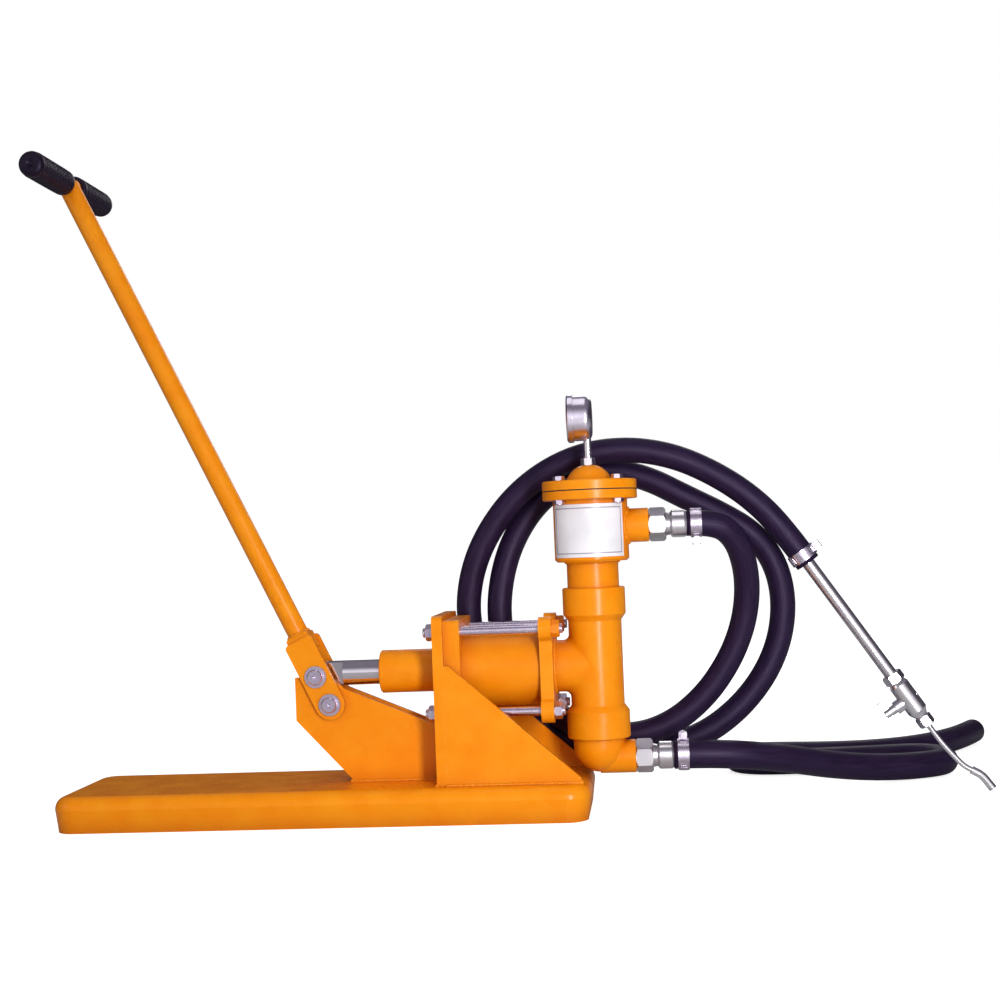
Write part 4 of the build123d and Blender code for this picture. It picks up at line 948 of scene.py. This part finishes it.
def floor():
    """A wide, plain floor: pale to the camera, a softer tone to the light that bounces off it."""
    middle = (CAD_BOX[0] + CAD_BOX[1]) / 2
    reach, sides = 40.0, 96
    verts = [(middle.x + reach * cos(2 * pi * k / sides), middle.y + reach * sin(2 * pi * k / sides), 0.0)
             for k in range(sides)]
    mesh = mesh_of(verts, [tuple(range(sides))], smooth=True)
    tint = colours().floor
    finish = Finish("studio_floor", Metallic=0.0, Emission_Strength=0.78)
    mottle = finish.grain(EVEN, 60.0, 0.3, 0.2)["Mottle"]
    direct = finish.node("ShaderNodeLightPath").outputs["Is Camera Ray"]
    seen = finish.mix(mottle, rgba(tint), scaled(tint, 1.02))
    finish.put(Base_Color=finish.mix(direct, scaled(tint, 0.55), seen),
               Roughness=finish.ramp(mottle, 0.2, 0.8, 0.55, 0.65),
               Emission_Color=finish.mix(direct, rgba((0.0, 0.0, 0.0)), rgba((1.0, 1.0, 1.0))))
    mesh.materials.append(finish.material)
    made = bpy.data.objects.new("studio_floor", mesh)
    bpy.context.scene.collection.objects.link(made)


def lamp(name, place, power, width, height):
    """A rectangular lamp turned to the middle of the pump."""
    data = bpy.data.lights.new(name, "AREA")
    data.shape = "RECTANGLE"
    data.size = width
    data.size_y = height
    data.energy = power
    made = bpy.data.objects.new(name, data)
    bpy.context.scene.collection.objects.link(made)
    direction = Vector((0.2, 0.0, 0.25)) - Vector(place)
    side = (1, 0, 0) if abs(direction.x) < abs(direction.y) else (0, 1, 0)
    made.matrix_world = axes(place, -direction, side)


def studio_sky():
    """White to the camera; to all else a soft dome with a darker back for the plated parts to mirror."""
    world = bpy.data.worlds.new("studio")
    world.use_nodes = True
    sky = Tree(world.node_tree)
    plain = world.node_tree.nodes["Background"]
    plain.inputs["Color"].default_value = (1.0, 1.0, 1.0, 1.0)
    plain.inputs["Strength"].default_value = 1.0
    path = sky.node("ShaderNodeLightPath").outputs
    way = sky.node("ShaderNodeSeparateXYZ", {0: sky.node("ShaderNodeTexCoord").outputs["Generated"]}).outputs
    front = sky.mix(sky.ramp(way["Y"], 0.35, -0.85), (0.22, 0.22, 0.24, 1.0), (0.62, 0.61, 0.60, 1.0))
    diffuse = sky.mix(sky.ramp(way["Z"], 0.3, 1.0), front, (0.34, 0.34, 0.36, 1.0))
    toward = sky.mix(sky.ramp(way["Y"], -0.35, -0.88), (0.035, 0.03, 0.04, 1.0), (0.74, 0.70, 0.76, 1.0))
    mirrored = sky.mix(sky.ramp(way["Z"], 0.30, 0.75), toward, (0.16, 0.15, 0.18, 1.0))
    tone = sky.mix(path["Is Glossy Ray"], diffuse, mirrored)
    soft = sky.node("ShaderNodeBackground", {"Color": tone, "Strength": 1.0})
    both = sky.node("ShaderNodeMixShader", {
        0: path["Is Camera Ray"], 1: soft.outputs[0], 2: plain.outputs[0]})
    world.node_tree.links.new(both.outputs[0], world.node_tree.nodes["World Output"].inputs["Surface"])
    bpy.context.scene.world = world


def studio_light():
    lamp("key", (0.95, -1.75, 0.42), 25.0, 0.25, 0.9)
    lamp("side", (-2.6, -1.2, 1.3), 6.0, 0.8, 1.4)
    lamp("top", (0.3, 0.1, 3.0), 5.0, 2.0, 0.8)
    lamp("rear", (0.6, 2.8, 1.9), 15.0, 2.0, 1.0)
    bpy.context.scene.view_settings.view_transform = "Standard"
    bpy.context.scene.view_settings.look = "None"


# ---------------------------------------------------------------- operators and panel
class PUMP_OT_stage(Operator):
    """Camera, floor and studio light"""
    bl_idname = "pump.stage"
    bl_label = "Stage"
    bl_options = {"REGISTER", "UNDO"}

    def execute(self, context):
        camera()
        floor()
        studio_sky()
        studio_light()
        return {"FINISHED"}


class PUMP_OT_finishes(Operator):
    """Every material, and the CAD nodes that take one"""
    bl_idname = "pump.finishes"
    bl_label = "Finishes"
    bl_options = {"REGISTER", "UNDO"}

    def execute(self, context):
        make_finishes()
        finish_nodes()
        return {"FINISHED"}


class PUMP_OT_hoses(Operator):
    """The delivery and suction hoses"""
    bl_idname = "pump.hoses"
    bl_label = "Hoses"
    bl_options = {"REGISTER", "UNDO"}

    def execute(self, context):
        delivery_hose()
        suction_hose()
        return {"FINISHED"}


class PUMP_OT_clamps(Operator):
    """The ridges on the hose clamps"""
    bl_idname = "pump.clamps"
    bl_label = "Clamps"
    bl_options = {"REGISTER", "UNDO"}

    def execute(self, context):
        clamp_ridges()
        return {"FINISHED"}


class PUMP_OT_welds(Operator):
    """The weld ripples of the stand and the lever"""
    bl_idname = "pump.welds"
    bl_label = "Welds"
    bl_options = {"REGISTER", "UNDO"}

    def execute(self, context):
        stand_welds()
        lever_welds()
        return {"FINISHED"}


class PUMP_OT_grips(Operator):
    """The two rubber grips"""
    bl_idname = "pump.grips"
    bl_label = "Hand grips"
    bl_options = {"REGISTER", "UNDO"}

    def execute(self, context):
        hand_grips()
        return {"FINISHED"}


class PUMP_OT_gauge(Operator):
    """The dial's marks and numbers"""
    bl_idname = "pump.gauge"
    bl_label = "Gauge face"
    bl_options = {"REGISTER", "UNDO"}

    def execute(self, context):
        gauge_face()
        return {"FINISHED"}


class PUMP_OT_plate(Operator):
    """The name plate's border"""
    bl_idname = "pump.plate"
    bl_label = "Name plate"
    bl_options = {"REGISTER", "UNDO"}

    def execute(self, context):
        plate_border()
        return {"FINISHED"}


class PUMP_OT_threads(Operator):
    """The thread at the ends of the tie rods"""
    bl_idname = "pump.threads"
    bl_label = "Threads"
    bl_options = {"REGISTER", "UNDO"}

    def execute(self, context):
        thread_ridges()
        return {"FINISHED"}


OPERATORS = [PUMP_OT_stage, PUMP_OT_finishes, PUMP_OT_hoses, PUMP_OT_clamps, PUMP_OT_welds, PUMP_OT_grips,
             PUMP_OT_gauge, PUMP_OT_plate, PUMP_OT_threads]


class PUMP_PT_panel(Panel):
    """The pump's pieces, sizes and colours"""
    bl_label = "Hand pump"
    bl_idname = "PUMP_PT_panel"
    bl_space_type = "VIEW_3D"
    bl_region_type = "UI"
    bl_category = "Hand pump"

    def draw(self, context):
        for made in OPERATORS:
            self.layout.operator(made.bl_idname)
        for group in (context.scene.pump_sizes, context.scene.pump_colours):
            box = self.layout.box()
            for name in group.bl_rna.properties.keys():
                if name not in ("rna_type", "name"):
                    box.prop(group, name)


CLASSES = [PumpSizes, PumpColours, *OPERATORS, PUMP_PT_panel]


def register():
    for made in CLASSES:
        bpy.utils.register_class(made)
    bpy.types.Scene.pump_sizes = PointerProperty(type=PumpSizes)
    bpy.types.Scene.pump_colours = PointerProperty(type=PumpColours)


def unregister():
    del bpy.types.Scene.pump_sizes
    del bpy.types.Scene.pump_colours
    for made in reversed(CLASSES):
        bpy.utils.unregister_class(made)


def main():
    register()
    for made in OPERATORS:
        name = made.bl_idname.split(".")[1]
        getattr(bpy.ops.pump, name)()


if __name__ == "__main__":
    main()
